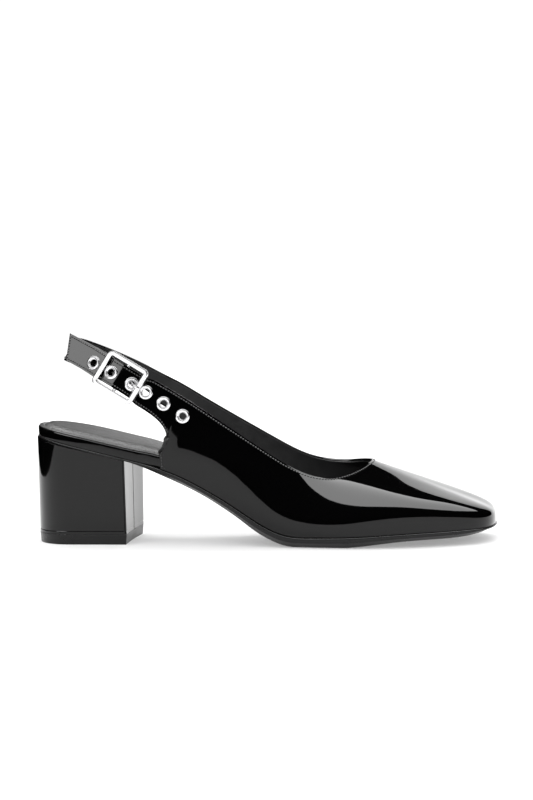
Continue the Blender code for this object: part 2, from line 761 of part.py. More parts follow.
def main():
    for item in list(bpy.data.objects):
        bpy.data.objects.remove(item)
    shoe = collection("slingback_pump")
    cutters = collection("cutters")
    patent = material("patent_leather", (0.006, 0.006, 0.007), 0.12, coat=1.0)
    sock = material("sock_leather", (0.045, 0.044, 0.046), 0.45)
    rubber = material("sole_rubber", (0.012, 0.012, 0.012), 0.5)
    steel = material("polished_metal", (0.8, 0.8, 0.81), 0.12, metallic=1.0)
    build_outsole(rubber, shoe)
    build_heel_seat(patent, shoe)
    build_heel(patent, shoe)
    build_top_piece(rubber, shoe)
    build_insole(sock, shoe)
    build_upper(patent, shoe, cutters)
    build_eyelets(steel, shoe)
    build_buckle(steel, shoe, cutters)
    build_prong(steel, shoe, cutters)


main()
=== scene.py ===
import json
import math

import bpy
import numpy as np
from mathutils import Matrix, Vector
from mathutils.bvhtree import BVHTree

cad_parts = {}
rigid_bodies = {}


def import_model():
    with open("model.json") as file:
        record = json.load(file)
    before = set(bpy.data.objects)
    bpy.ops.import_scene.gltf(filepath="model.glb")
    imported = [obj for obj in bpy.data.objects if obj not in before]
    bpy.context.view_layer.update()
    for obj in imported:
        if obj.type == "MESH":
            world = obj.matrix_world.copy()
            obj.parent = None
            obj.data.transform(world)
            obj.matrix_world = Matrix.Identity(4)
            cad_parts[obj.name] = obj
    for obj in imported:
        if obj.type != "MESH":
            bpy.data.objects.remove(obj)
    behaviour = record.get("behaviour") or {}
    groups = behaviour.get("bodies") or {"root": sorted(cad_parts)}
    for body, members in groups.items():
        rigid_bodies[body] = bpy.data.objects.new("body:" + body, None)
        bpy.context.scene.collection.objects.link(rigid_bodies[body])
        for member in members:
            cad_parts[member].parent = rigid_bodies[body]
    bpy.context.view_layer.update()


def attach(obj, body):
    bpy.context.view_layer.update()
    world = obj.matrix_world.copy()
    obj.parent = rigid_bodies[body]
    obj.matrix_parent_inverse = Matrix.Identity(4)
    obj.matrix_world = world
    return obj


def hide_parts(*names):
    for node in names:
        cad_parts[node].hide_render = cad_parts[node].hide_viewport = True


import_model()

# Sizes are in millimetres and the model in metres
MM = 0.001
GAP = 0.3

# Walls and sole
WALL = 1.8
LEATHER = 1.0
LINING = 0.72
FOLD = 0.8
LEDGE = 0.7
SEAT_LEDGE = 0.15
SOLE_INSET = 3.2
SOLE_EDGE = 0.45
SEAT_END = 119.0
FLAT = 0.12

# Heel block
HEEL_FRONT = 26.5
HEEL_BACK = -26.5
HEEL_ROUND = 21.0
TREAD_HALF = 23.0
SEAT_HALF = 25.6
TOP_PIECE = 5.5
HEEL_TOP = 61.0
FLARE_TOP = 55
BREAST_HOLLOW = 0.6
HOLLOW_HALF = 22.5
BREAST_SEAM = 0.55
COVER_EDGE = 1.0
COVER_EDGE_HALF = 0.3
COVER_EDGE_DEEP = 0.28
FOOT_FOLD = 1.75
FOOT_FOLD_HALF = 0.4
FOOT_FOLD_DEEP = 0.22
TREAD_DRAW = 0.5

# Buckle
BUCKLE_X = 26.7
BUCKLE_Z = 91.4
BUCKLE_SLOPE = math.radians(31.5)
BUCKLE_LEAN = math.radians(8)
FRAME_LONG = 25.1
FRAME_WIDE = 21.4
FRAME_BAR = 1.35
FRAME_Y = -31.9
FRAME_CORNER = 3.4
FRAME_DEEP = 2.5
BAR_RADIUS = 0.95
BAR_Y = -26.9
BAR_HOLE = 1.25
LOOP_RADIUS = 2.5
LOOP_HALF = 6.5
SLOT_HALF = 2.3
PRONG_RADIUS = 0.85

# Straps and eyelets
STRAP_HOLE = 2.8
EYELET_SPAN = 2.8
STRAP_FACE = -29.3
STRAP_PEAK = 2.7
PEAK_ROUND = 0.8
PEAK_FOOT_ROUND = 0.05
BAR_REACH = 11.5
STRAP_TIP = -35.2
TIP_TURN = math.radians(25)
TIP_TURN_ROUND = 1.6
TIP_RAKE = 6.4
RAKE_START = -22
OUTSIDE = -60
SLING_HALF = 6.7
SLING_SIDE = 27.4
SLING_TURN = math.radians(29)
INNER_DROP = 2.9

# Thread
STITCH_PITCH = 1.6
STITCH_LENGTH = 1.05
THREAD = 0.36
STITCH_MARGIN = 1.35
STITCH_LIFT = 0.06
STITCH_SPAN = 0.6
STITCH_NOSE = 0.1
STITCH_DIP = 0.05


def table(names, *rows):
    """Rows of sizes, read by the name of their column."""
    return {name: [row[i] for row in rows] for i, name in enumerate(names.split())}


# Plan outline of the last's feather line: outer and inner edge at each length
OUTLINE = table(
    "x outer inner",
    (-22.5, -12.5, 12.5),
    (-12, -21.3, 21.3),
    (4, -25.3, 25.0),
    (30, -26.5, 23.8),
    (60, -27.6, 21.2),
    (90, -30.6, 22.6),
    (120, -35.0, 30.0),
    (145, -38.0, 36.8),
    (165, -37.5, 39.5),
    (185, -33.6, 38.6),
    (203, -26.4, 35.0),
    (215, -19.6, 29.6),
    (221.8, -11.0, 22.0),
    (224.2, -1.5, 12.0),
)
HEEL_POINT = -26.0

# Side line of the sole: its top, which is the feather line, and its bottom
SOLE = table(
    "x top bottom",
    (-26, 59.3, 58.1),
    (-10, 55.4, 54.2),
    (5, 52.1, 50.9),
    (20, 48.6, 47.4),
    (30, 46.2, 45.0),
    (38, 44.1, 42.0),
    (48, 40.8, 37.4),
    (58.5, 36.6, 32.5),
    (69, 31.3, 27.2),
    (79.5, 25.5, 20.9),
    (90, 18.9, 13.8),
    (98, 13.8, 8.0),
    (106, 9.4, 3.6),
    (113, 6.7, 0.9),
    (120, 5.5, 0),
    (132, 5.4, 0),
    (146, 5.7, 0),
    (160, 6.3, 1.2),
    (176, 7.2, 2.9),
    (196, 7.8, 3.7),
    (212, 8.2, 4.7),
    (225, 8.4, 7.2),
)

# Top of the heel seat, on which the sock lies
SEAT = table(
    "x z",
    (-26, 64.0),
    (-16.5, 62.2),
    (-9, 60.7),
    (0, 58.9),
    (12, 56.2),
    (28, 52.5),
    (46, 48.2),
    (60, 43.2),
    (75, 35.2),
    (90, 25.0),
    (103, 15.4),
    (112, 9.8),
    (120, 6.8),
)

# Ribs of the last, by distance along the feather line from the toe's front
RIBS = table(
    "from_toe edge_x edge_outer edge_inner edge_z inner_lift run out rise full "
    "inner_out inner_rise inner_full",
    (0, 158.0, 3.0, 3.0, 43.1, 0.0, 0.0, 0.6, 0.25, 6.0, 0.6, 0.25, 6.0),
    (12, 157.2, -3.0, 9.0, 42.5, 0.7, 0.0, 0.7, 0.28, 5.5, 0.7, 0.28, 5.5),
    (22, 155.4, -8.2, 14.2, 41.3, 1.6, 0.0, 0.95, 0.33, 4.4, 0.95, 0.33, 4.4),
    (32, 152.9, -12.8, 18.8, 39.9, 2.6, 0.0, 1.4, 0.41, 3.3, 1.4, 0.41, 3.3),
    (45, 149.3, -17.8, 23.4, 38.4, 3.6, 0.0, 2.0, 0.51, 2.6, 2.0, 0.51, 2.6),
    (60, 144.7, -22.4, 27.0, 37.1, 4.3, 0.0, 2.7, 0.57, 2.1, 2.6, 0.57, 2.1),
    (80, 137.3, -26.7, 30.2, 36.5, 4.6, 0.06, 3.6, 0.47, 1.8, 3.2, 0.5, 1.7),
    (100, 127.3, -29.2, 31.4, 38.8, 3.2, 0.18, 4.4, 0.26, 1.6, 3.3, 0.45, 1.35),
    (120, 115.6, -30.0, 30.6, 44.4, 1.4, 0.32, 4.8, 0.18, 1.5, 3.1, 0.47, 1.15),
    (140, 103.0, -29.6, 29.0, 52.4, 0.2, 0.42, 5.1, 0.27, 1.5, 2.8, 0.5, 1.0),
    (160, 90.2, -29.1, 27.9, 60.9, -0.8, 0.5, 5.0, 0.41, 1.5, 2.6, 0.5, 1.0),
    (180, 77.3, -28.6, 27.4, 69.5, -1.9, 0.5, 4.2, 0.37, 1.5, 2.2, 0.5, 1.0),
    (200, 64.6, -28.3, 27.2, 77.9, -2.8, 0.5, 3.0, 0.14, 1.5, 1.5, 0.5, 1.0),
)

# Back edge of a quarter, from the sole up the cut-out, with the topline above each point
BACK_EDGE = table(
    "low_x low_z high_x high_z low_y high_y out",
    (47.0, 48.8, 61.6, 79.8, -29.2, -28.3, 1.2),
    (50.0, 54.6, 58.9, 81.5, -29.45, -28.3, 0.8),
    (50.9, 59.4, 56.4, 83.0, -29.5, -28.3, 0.55),
    (49.7, 63.8, 53.8, 84.6, -29.6, -28.3, 0.4),
    (46.6, 68.0, 50.9, 86.3, -29.8, -28.3, 0.25),
    (42.0, 71.9, 47.4, 88.3, -30.1, -28.3, 0.1),
    (37.4, 75.0, 43.9, 90.1, -30.45, -28.3, 0.0),
)

# Extension strap in the buckle's own lengths: along to the toe, lower and upper edge across it
EXTENSION = table(
    "along low high",
    (13.5, -8.3, 7.3),
    (11.5, -7.7, 7.0),
    (9.5, -7.1, 6.9),
    (3.2, -6.9, 6.9),
    (1.2, -6.9, 6.9),
    (-1.2, -6.9, 6.9),
    (-3.2, -6.9, 6.9),
    (-10.5, -7.0, 6.9),
    (-12.5, -7.3, 6.9),
    (-22, -7.2, 7.0),
    (STRAP_TIP, -7.7, 6.0),
)

# Middle line of the sling, from the inner quarter round the back to the buckle's middle bar
SLING = table(
    "x y z",
    (33.5, 27.2, 85.2),
    (24, 26.9, 90.2),
    (14, 25.6, 95.1),
    (5, 22.2, 99.4),
    (-2, 16.0, 102.9),
    (-6.2, 8.0, 105.2),
    (-7.4, 0, 105.9),
    (-6.0, -8.2, 105.8),
    (-1.5, -15.2, 104.9),
    (5, -20.4, 103.0),
    (12.5, -23.9, 99.9),
    (18.5, -26.0, 96.4),
    (22, -26.9, 94.3),
    (25.2, -27.4, 92.3),
)

# Eyelets along the extension strap, in the buckle's own lengths
EYELETS = table(
    "along across",
    (39.3, -0.6),
    (27.0, -0.1),
    (15.6, 0.2),
    (7.1, 0.0),
    (-5.9, -0.3),
    (-17.4, -0.9),
)

# Prong: along the strap, out from the shoe's middle plane, and its share of the full thickness
PRONG = table(
    "along y taper",
    (1.7, -27.0, 1.15),
    (4.9, -27.0, 1.15),
    (6.2, -27.6, 1.1),
    (6.9, -28.8, 1.0),
    (7.3, -30.4, 1.0),
    (7.8, -32.4, 1.0),
    (8.9, -33.9, 1.0),
    (10.6, -34.4, 0.95),
    (12.2, -34.0, 0.62),
)


def spline(knots, values):
    """A natural cubic curve through the values, as a function of the knot."""
    knots = np.array(knots, float)
    values = np.array(values, float)
    step = np.diff(knots)
    count = len(knots)
    left = np.eye(count)
    right = np.zeros(values.shape)
    for i in range(1, count - 1):
        left[i, i - 1:i + 2] = step[i - 1], 2 * (step[i - 1] + step[i]), step[i]
        right[i] = 6 * ((values[i + 1] - values[i]) / step[i] - (values[i] - values[i - 1]) / step[i - 1])
    bend = np.linalg.solve(left, right.reshape(count, -1)).reshape(values.shape)

    def at(knot):
        i = int(np.clip(np.searchsorted(knots, knot) - 1, 0, count - 2))
        a = (knots[i + 1] - knot) / step[i]
        b = 1 - a
        straight = a * values[i] + b * values[i + 1]
        return straight + ((a ** 3 - a) * bend[i] + (b ** 3 - b) * bend[i + 1]) * step[i] ** 2 / 6

    return at


def ease(x, low, high):
    """0 below low, 1 above high, and a smooth step between."""
    t = min(max((x - low) / (high - low), 0), 1)
    return t * t * (3 - 2 * t)


def lengths(points):
    """Distance along a line at each of its points."""
    return np.concatenate([[0], np.cumsum(np.linalg.norm(np.diff(points, axis=0), axis=1))])


def along_line(points, way, spots):
    """Points at given distances along a line, from the distance of each of its own points."""
    return np.stack([np.interp(spots, way, points[:, k]) for k in range(3)], axis=-1)


def outline_curve():
    """The feather line in plan, as a function of its distance from the toe's front centre."""
    outer = list(zip(OUTLINE["x"], OUTLINE["outer"]))
    inner = list(zip(OUTLINE["x"], OUTLINE["inner"]))
    loop = inner[2::-1] + [(HEEL_POINT, 0)] + outer + inner[::-1] + [(HEEL_POINT, 0)] + outer[:3]
    points = np.array(loop, float)
    way = lengths(points)
    toe = (way[3 + len(outer)] + way[4 + len(outer)]) / 2
    return spline(way - toe, points), way[3] - toe, way[4 + 2 * len(outer)] - toe


OUTLINE_AT, OUTER_END, INNER_END = outline_curve()
SOLE_TOP = spline(SOLE["x"], SOLE["top"])
SOLE_BOTTOM = spline(SOLE["x"], SOLE["bottom"])
SEAT_TOP = spline(SEAT["x"], SEAT["z"])


def outline_point(from_toe, side, inset=0.0):
    """Plan point of the feather line, moved in from the edge; side is -1 outer, 1 inner."""
    reach = -OUTER_END if side < 0 else INNER_END
    way = side * min(from_toe, reach)
    here = OUTLINE_AT(way)
    ahead = OUTLINE_AT(way + 0.5) - OUTLINE_AT(way - 0.5)
    ahead /= np.linalg.norm(ahead)
    return here + inset * np.array([-ahead[1], ahead[0]])


def outward(from_toe, side):
    """Direction in plan that leaves the feather line squarely."""
    return outline_point(from_toe, side, -1) - outline_point(from_toe, side)


CONIC_STEPS = 241
BEND_SHARE = 0.6


def conic(low, shoulder, high, full, count):
    """Points of a conic rib, closer together where it bends."""
    t = np.linspace(0, 1, CONIC_STEPS)[:, None]
    weight = [(1 - t) ** 2, 2 * full * t * (1 - t), t ** 2]
    points = (weight[0] * low + weight[1] * shoulder + weight[2] * high) / sum(weight)
    step = np.diff(points, axis=0)
    length = np.linalg.norm(step, axis=1)
    turn = np.concatenate([[0], np.arccos(np.clip(
        np.sum(step[1:] * step[:-1], axis=1) / (length[1:] * length[:-1]), -1, 1))])
    share = length / length.sum() + BEND_SHARE * turn / math.pi
    way = np.concatenate([[0], np.cumsum(share)])
    picks = np.interp(np.linspace(0, way[-1], count), way, np.arange(len(way)))
    return along_line(points, np.arange(len(points)), picks)


def last_ribs(ways, count):
    """Ribs over the last at signed distances from the toe: outer quarter, toe, inner quarter."""
    columns = [name for name in RIBS if name != "from_toe"]
    knots = [-way for way in RIBS["from_toe"][:0:-1]] + RIBS["from_toe"]
    rows = []
    for side in (-1, 1):
        order = range(len(RIBS["from_toe"]) - 1, 0, -1) if side < 0 else range(len(RIBS["from_toe"]))
        for i in order:
            row = {name: RIBS[name][i] for name in columns}
            edge_y = row["edge_outer"] if side < 0 else row["edge_inner"]
            edge_z = row["edge_z"] + (0 if side < 0 else row["inner_lift"])
            bow = [row[("" if side < 0 else "inner_") + name] for name in ("out", "rise", "full")]
            rows.append([row["edge_x"], edge_y, edge_z, row["run"], *bow])
    column_at = spline(knots, rows)
    ribs = []
    for way in ways:
        side = -1 if way < 0 else 1
        edge_x, edge_y, edge_z, run, out, rise, full = column_at(way)
        foot = outline_point(abs(way), side)
        low = np.array([foot[0], foot[1], SOLE_TOP(foot[0]) + GAP])
        high = np.array([edge_x, edge_y, edge_z])
        away = outward(abs(way), side)
        shoulder = low + run * (high - low)
        shoulder[:2] += out * away
        shoulder[2] = low[2] + rise * (high[2] - low[2])
        ribs.append(conic(low, shoulder, high, full, count))
    return ribs


def buckle_point(along, across, y):
    """A point in the buckle's own lengths: along to the toe, across upwards, and y square to its face."""
    cos, sin = math.cos(BUCKLE_SLOPE), math.sin(BUCKLE_SLOPE)
    in_by, up_by = math.sin(BUCKLE_LEAN), math.cos(BUCKLE_LEAN)
    rise = across * up_by - (y - STRAP_FACE) * in_by
    depth = across * in_by + (y - STRAP_FACE) * up_by
    return np.array([BUCKLE_X + along * cos + rise * sin,
                     STRAP_FACE + depth,
                     BUCKLE_Z - along * sin + rise * cos])


def extension_face(along):
    """Outer face of the extension strap: a low tent over the middle bar, then turned in at the tip."""
    tent = 1 - math.hypot(along, PEAK_ROUND) / BAR_REACH
    tent = (tent + math.hypot(tent, PEAK_FOOT_ROUND)) / 2
    past = -along - BAR_REACH
    turned_in = (past + math.hypot(past, TIP_TURN_ROUND)) / 2 * math.tan(TIP_TURN)
    return STRAP_FACE - STRAP_PEAK * tent + turned_in


def straight_rib(low, high, out, count):
    """A rib of a quarter or strap, bowed out a little between its edges."""
    low, high = np.array(low, float), np.array(high, float)
    side = -1 if low[1] < 0 else 1
    shoulder = (low + high) / 2 + np.array([0, side * out, 0])
    return conic(low, shoulder, high, 1.0, count)


def strap_rib(along, count):
    """A rib across the extension strap, raked at the tip."""
    spots = EXTENSION["along"][::-1]
    low = np.interp(along, spots, EXTENSION["low"][::-1])
    high = np.interp(along, spots, EXTENSION["high"][::-1])
    rake = TIP_RAKE / 2 * min(max((RAKE_START - along) / (RAKE_START - STRAP_TIP), 0), 1)
    return straight_rib(buckle_point(along + rake, low, extension_face(along + rake)),
                        buckle_point(along - rake, high, extension_face(along - rake)), 0, count)


def quarter_ribs(count):
    """Ribs from the strap's root down the outer quarter's back edge."""
    ribs = [strap_rib(along, count) for along in (9.5, 11.5, 13.5)]
    for low_x, low_z, high_x, high_z, low_y, high_y, out in reversed(list(zip(*BACK_EDGE.values()))):
        ribs.append(straight_rib((low_x, low_y, low_z), (high_x, high_y, high_z), out, count))
    return ribs


def sling_ribs(count):
    """Ribs up the inner quarter's back edge and along the sling to the buckle."""
    ribs = []
    inner_low = spline((0, len(BACK_EDGE["out"])), (outline_point(200, 1)[1], 27.0))
    for i, (low_x, low_z, high_x, high_z, _, _, out) in enumerate(zip(*BACK_EDGE.values())):
        low_y = inner_low(i + 1)
        low = (low_x, low_y, low_z - INNER_DROP * i / len(BACK_EDGE["out"]))
        ribs.append(straight_rib(low, (high_x, 27.2, high_z - INNER_DROP), out, count))
    for middle in zip(*SLING.values()):
        lean = -math.sin(BUCKLE_LEAN) * middle[1] / SLING_SIDE
        half = SLING_HALF * np.array([math.sin(SLING_TURN), lean, math.cos(SLING_TURN)])
        ribs.append(straight_rib(np.array(middle) - half, np.array(middle) + half, 0, count))
    return ribs


# Ribs of the whole upper, close enough for mirror leather
RIB_POINTS = 49
RIB_PITCH = 1.1
STRAP_PITCH = 0.7
PEAK_PITCH = 0.25
PEAK_HALF = 2.5
STRAP_ROOT = 9.3
LAST_REACH = 200
LAST_COUNT = 321
SEAM_ROOM = 0.4

# Ribs at the sling's end that turn round the middle bar, with no lining or stitch
BAR_ROWS = 7


def closer_rows(rows, pitch):
    """More ribs through the given ones, on smooth curves along the wall."""
    rows = np.array(rows)
    step = np.linalg.norm(np.diff(rows, axis=0), axis=2).mean(axis=1)
    way = np.concatenate([[0], np.cumsum(step)])
    at = spline(way, rows)
    return [at(spot) for spot in np.linspace(0, way[-1], int(way[-1] / pitch) + 1)]


def halfway(near, far):
    """Two ribs between two that share an upright back edge."""
    return [near + (far - near) * share for share in (1 / 3, 2 / 3)]


def wall_rows():
    """All ribs from the strap's tip round the toe to the sling's end, and where the last begins and ends."""
    spots = np.concatenate([np.arange(STRAP_TIP, -PEAK_HALF, STRAP_PITCH),
                            np.arange(-PEAK_HALF, PEAK_HALF, PEAK_PITCH),
                            np.arange(PEAK_HALF, STRAP_ROOT, STRAP_PITCH)])
    straight = [strap_rib(along, RIB_POINTS) for along in spots]
    last = last_ribs(np.linspace(-LAST_REACH, LAST_REACH, LAST_COUNT), RIB_POINTS)
    quarter, sling = quarter_ribs(RIB_POINTS), sling_ribs(RIB_POINTS)
    before = closer_rows(straight[-7::3] + quarter + halfway(quarter[-1], last[0]) + last[:24:8], RIB_PITCH)
    after = closer_rows(last[-17::8] + halfway(last[-1], sling[0]) + sling, RIB_PITCH)

    def behind(row, rib):
        return row[0][0] < rib[0][0] - SEAM_ROOM or row[-1][0] < rib[-1][0] - SEAM_ROOM

    quarter = [row for row in before
               if row[-1][0] > straight[-1][-1][0] + SEAM_ROOM and behind(row, last[0])]
    sling = [row for row in after if behind(row, last[-1])]
    rows = np.array(straight + quarter + last + sling)
    return rows, len(straight) + len(quarter), len(straight) + len(quarter) + len(last)


def row_point(row, distance, from_low=False):
    """The point on a rib at a distance from its upper or lower edge."""
    points = row if from_low else row[::-1]
    return along_line(points, lengths(points), distance)


def trimmed(row, low, high):
    """A rib cut back at its lower and upper edges."""
    way = lengths(row)
    return along_line(row, way, low + (way / way[-1]) * (way[-1] - low - high))


def face_normals(rows):
    """Directions that leave the outer face at each point of the ribs."""
    along = np.gradient(rows, axis=0)
    across = np.gradient(rows, axis=1)
    away = np.cross(along, across)
    return away / np.linalg.norm(away, axis=2)[:, :, None]


# Helpers for working in edit mode
def deselect():
    if bpy.context.object and bpy.context.object.mode != "OBJECT":
        bpy.ops.object.mode_set(mode="OBJECT")
    bpy.ops.object.select_all(action="DESELECT")


def hold(item):
    """Makes a piece the only one selected, and active."""
    deselect()
    item.select_set(True)
    bpy.context.view_layer.objects.active = item
    return item


def named(name):
    """Names the piece just added, and its mesh."""
    item = bpy.context.object
    item.name = name
    item.data.name = name
    return item


def pick(item, kind, test):
    """Opens a piece in edit mode with only the vertices, edges or faces that pass the test selected."""
    hold(item)
    mesh = item.data
    for items in (mesh.vertices, mesh.edges, mesh.polygons):
        items.foreach_set("select", [False] * len(items))
    if kind == "VERT":
        for vert in mesh.vertices:
            vert.select = bool(test(vert.co / MM))
    elif kind == "EDGE":
        for edge in mesh.edges:
            edge.select = bool(test(*(mesh.vertices[i].co / MM for i in edge.vertices)))
    else:
        for face in mesh.polygons:
            face.select = bool(test(face.center / MM, face.normal))
    bpy.ops.object.mode_set(mode="EDIT")
    bpy.ops.mesh.select_mode(type=kind)


def object_mode():
    bpy.ops.object.mode_set(mode="OBJECT")


def cut(item, point, normal, clear=False):
    """Cuts a whole piece by a plane, and takes away and closes what lies beyond it if asked."""
    hold(item)
    bpy.ops.object.mode_set(mode="EDIT")
    bpy.ops.mesh.select_all(action="SELECT")
    bpy.ops.mesh.bisect(plane_co=Vector(point) * MM, plane_no=normal, clear_outer=clear, use_fill=clear)
    object_mode()


def modify(item, kind, **settings):
    """Adds a modifier and applies it."""
    hold(item)
    tool = item.modifiers.new(kind.lower(), kind)
    for name, value in settings.items():
        setattr(tool, name, value)
    bpy.ops.object.modifier_apply(modifier=tool.name)


def round_edges(item, width, segments, angle):
    """Rounds the edges that are sharper than an angle."""
    modify(item, "BEVEL", width=width * MM, segments=segments, limit_method="ANGLE",
           angle_limit=math.radians(angle))


def shade(item, angle):
    """Shades a piece smooth, except at the edges that are sharper than an angle."""
    hold(item)
    bpy.ops.object.shade_smooth_by_angle(angle=math.radians(angle))


def soften(item, width, segments, angle):
    """Rounds the sharp edges and shades the piece smooth, with its large faces flat."""
    round_edges(item, width, segments, angle)
    shade(item, 35)
    modify(item, "WEIGHTED_NORMAL", keep_sharp=True, weight=60)


def slice_at(item, direction, spots):
    """Cuts a piece by planes square to a direction, so that it can be shaped there."""
    for spot in spots:
        cut(item, Vector(direction) * spot, direction)


def outwards(item):
    """Merges doubles and turns every face outwards."""
    hold(item)
    bpy.ops.object.mode_set(mode="EDIT")
    bpy.ops.mesh.select_all(action="SELECT")
    bpy.ops.mesh.remove_doubles(threshold=0.0005 * MM)
    bpy.ops.mesh.normals_make_consistent(inside=False)
    object_mode()
    return item


def combine(item, tool, operation):
    """Joins a tool to a piece, or cuts the piece with it, and removes the tool."""
    modify(item, "BOOLEAN", operation=operation, solver="EXACT", object=tool)
    bpy.data.objects.remove(tool)


def rod(name, start, end, radius, sides=48):
    """A cylinder between two points, added at its place."""
    start, end = Vector(start) * MM, Vector(end) * MM
    deselect()
    turn = (end - start).to_track_quat("Z", "Y").to_euler()
    bpy.ops.mesh.primitive_cylinder_add(vertices=sides, radius=radius * MM, depth=(end - start).length,
                                        location=(start + end) / 2, rotation=turn)
    return settle(named(name))


def bar_rod(name, low, high, radius, sides=48):
    """A cylinder on the middle bar's own line, between two distances across the strap."""
    return rod(name, buckle_point(0, low, BAR_Y), buckle_point(0, high, BAR_Y), radius, sides)


def settle(item):
    """Puts a piece's place, turn and size into its mesh."""
    hold(item)
    bpy.ops.object.transform_apply(location=True, rotation=True, scale=True)
    return item


def wire(name, points, radius, tapers=None):
    """A round wire: a path is drawn through the points, given its thickness and made a mesh."""
    deselect()
    bpy.ops.curve.primitive_nurbs_path_add(location=(0, 0, 0))
    item = named(name)
    curve = item.data
    curve.splines.remove(curve.splines[0])
    line = curve.splines.new("POLY")
    line.points.add(len(points) - 1)
    for i, (spot, point) in enumerate(zip(line.points, points)):
        spot.co = (*(Vector(point) * MM), 1)
        spot.radius = tapers[i] if tapers is not None else 1
    curve.bevel_depth = radius * MM
    curve.bevel_resolution = 5
    curve.use_fill_caps = True
    hold(item)
    bpy.ops.object.convert(target="MESH")
    return outwards(bpy.context.object)


def grid_piece(name, rows):
    """An open sheet laid on ribs."""
    rows = np.array(rows)
    deselect()
    bpy.ops.mesh.primitive_grid_add(x_subdivisions=rows.shape[1] - 1, y_subdivisions=rows.shape[0] - 1,
                                    size=1, location=(0, 0, 0))
    item = named(name)
    item.data.vertices.foreach_set("co", (rows[:, ::-1, :] * MM).astype(np.float32).ravel())
    item.data.update()
    return item


def link(item):
    """Puts a new object into the scene."""
    bpy.context.scene.collection.objects.link(item)
    return item


def mesh_piece(name, points, faces):
    """A piece from points in millimetres and the faces between them."""
    mesh = bpy.data.meshes.new(name)
    mesh.from_pydata([tuple(np.array(point) * MM) for point in points], [], faces)
    return link(bpy.data.objects.new(name, mesh))


# Materials
class Term:
    """A socket in a finish, so that shader maths is written as Python expressions."""

    def __init__(self, finish, socket):
        self.finish = finish
        self.socket = socket

    def work(self, operation, *values):
        return self.finish.node("ShaderNodeMath", {"operation": operation}, dict(enumerate(values)))["Value"]

    def __add__(self, other):
        return self.work("ADD", self, other)

    __radd__ = __add__

    def __mul__(self, other):
        return self.work("MULTIPLY", self, other)

    __rmul__ = __mul__


class Finish:
    """A material for one finish of the shoe, built on the Principled shader."""

    def __init__(self, name, colour, roughness, **constants):
        self.material = bpy.data.materials.new(name)
        self.material.use_nodes = True
        self.tree = self.material.node_tree
        self.shader = self.tree.nodes["Principled BSDF"]
        self.shader.inputs["Base Color"].default_value = (*colour, 1)
        self.shader.inputs["Roughness"].default_value = roughness
        for socket, value in constants.items():
            self.shader.inputs[socket.replace("_", " ")].default_value = value

    def node(self, kind, settings, sockets):
        """Adds a node, with its settings, then what its sockets hold; gives its outputs by name."""
        node = self.tree.nodes.new(kind)
        for key, value in settings.items():
            setattr(node, key, value)
        for key, value in sockets.items():
            self.feed(node.inputs[key], value)
        return {socket.name: Term(self, socket) for socket in reversed(node.outputs) if socket.enabled}

    def feed(self, socket, value):
        if isinstance(value, Term):
            self.tree.links.new(value.socket, socket)
        else:
            socket.default_value = value

    def set(self, socket, value):
        self.feed(self.shader.inputs[socket], value)

    def place(self, scale=(1, 1, 1)):
        """Object coordinates, stretched."""
        spot = self.node("ShaderNodeTexCoord", {}, {})["Object"]
        return self.node("ShaderNodeMapping", {}, {"Vector": spot, "Scale": scale})["Vector"]

    def noise(self, scale, detail=2.0, roughness=0.5, where=None):
        where = where or self.node("ShaderNodeTexCoord", {}, {})["Object"]
        return self.node("ShaderNodeTexNoise", {"noise_dimensions": "3D"},
                         {"Vector": where, "Scale": scale, "Detail": detail, "Roughness": roughness})["Fac"]

    def cells(self, scale, feature="F1"):
        where = self.node("ShaderNodeTexCoord", {}, {})["Object"]
        return self.node("ShaderNodeTexVoronoi", {"feature": feature},
                         {"Vector": where, "Scale": scale})["Distance"]

    def colours(self, factor, first, second):
        """A colour between two, by a factor."""
        mix = self.tree.nodes.new("ShaderNodeMix")
        mix.data_type = "RGBA"
        self.feed(mix.inputs["Factor"], factor)
        mix.inputs[6].default_value = (*first, 1)
        mix.inputs[7].default_value = (*second, 1)
        return Term(self, mix.outputs[2])

    def bump(self, height, distance):
        """Relief of a height in millimetres."""
        relief = self.node("ShaderNodeBump", {}, {"Height": height, "Distance": distance * MM})
        self.set("Normal", relief["Normal"])
        return self


def patent_finish():
    """Black patent leather: mirror smooth, with long soft waves and a trace of grain."""
    finish = Finish("patent_leather", (0.0004, 0.0004, 0.00042), 0.045, IOR=1.39)
    haze = finish.noise(45.0, 3.0, 0.6)
    finish.set("Roughness", haze * 0.05 + 0.02)
    waves = finish.noise(95.0, 1.0, 0.4)
    grain = finish.noise(900.0, 2.0, 0.5)
    return finish.bump(waves + grain * 0.012, 0.05)


def lining_finish():
    """Dark lining leather with a satin face and fine pores."""
    finish = Finish("lining_leather", (0.004, 0.004, 0.0042), 0.45, IOR=1.4)
    mottle = finish.noise(160.0, 4.0, 0.6)
    finish.set("Base Color", finish.colours(mottle, (0.0025, 0.0025, 0.0026), (0.006, 0.006, 0.0062)))
    finish.set("Roughness", mottle * 0.2 + 0.36)
    pores = finish.cells(1500.0)
    return finish.bump(pores * 0.6 + finish.noise(700.0, 3.0) * 0.6, 0.06)


def sock_finish():
    """Dark grey sock leather: soft sheen, mottled along the foot, with a fine grain."""
    finish = Finish("sock_leather", (0.018, 0.018, 0.0182), 0.36, IOR=1.45)
    mottle = finish.noise(140.0, 6.0, 0.7, finish.place((0.35, 1, 1)))
    finish.set("Base Color", finish.colours(mottle, (0.004, 0.004, 0.0041), (0.042, 0.0415, 0.0415)))
    finish.set("Roughness", mottle * 0.3 + 0.24)
    grain = finish.cells(900.0, "SMOOTH_F1")
    return finish.bump(grain * 0.8 + finish.noise(420.0, 5.0, 0.7, finish.place((0.4, 1, 1))) * 1.2, 0.34)


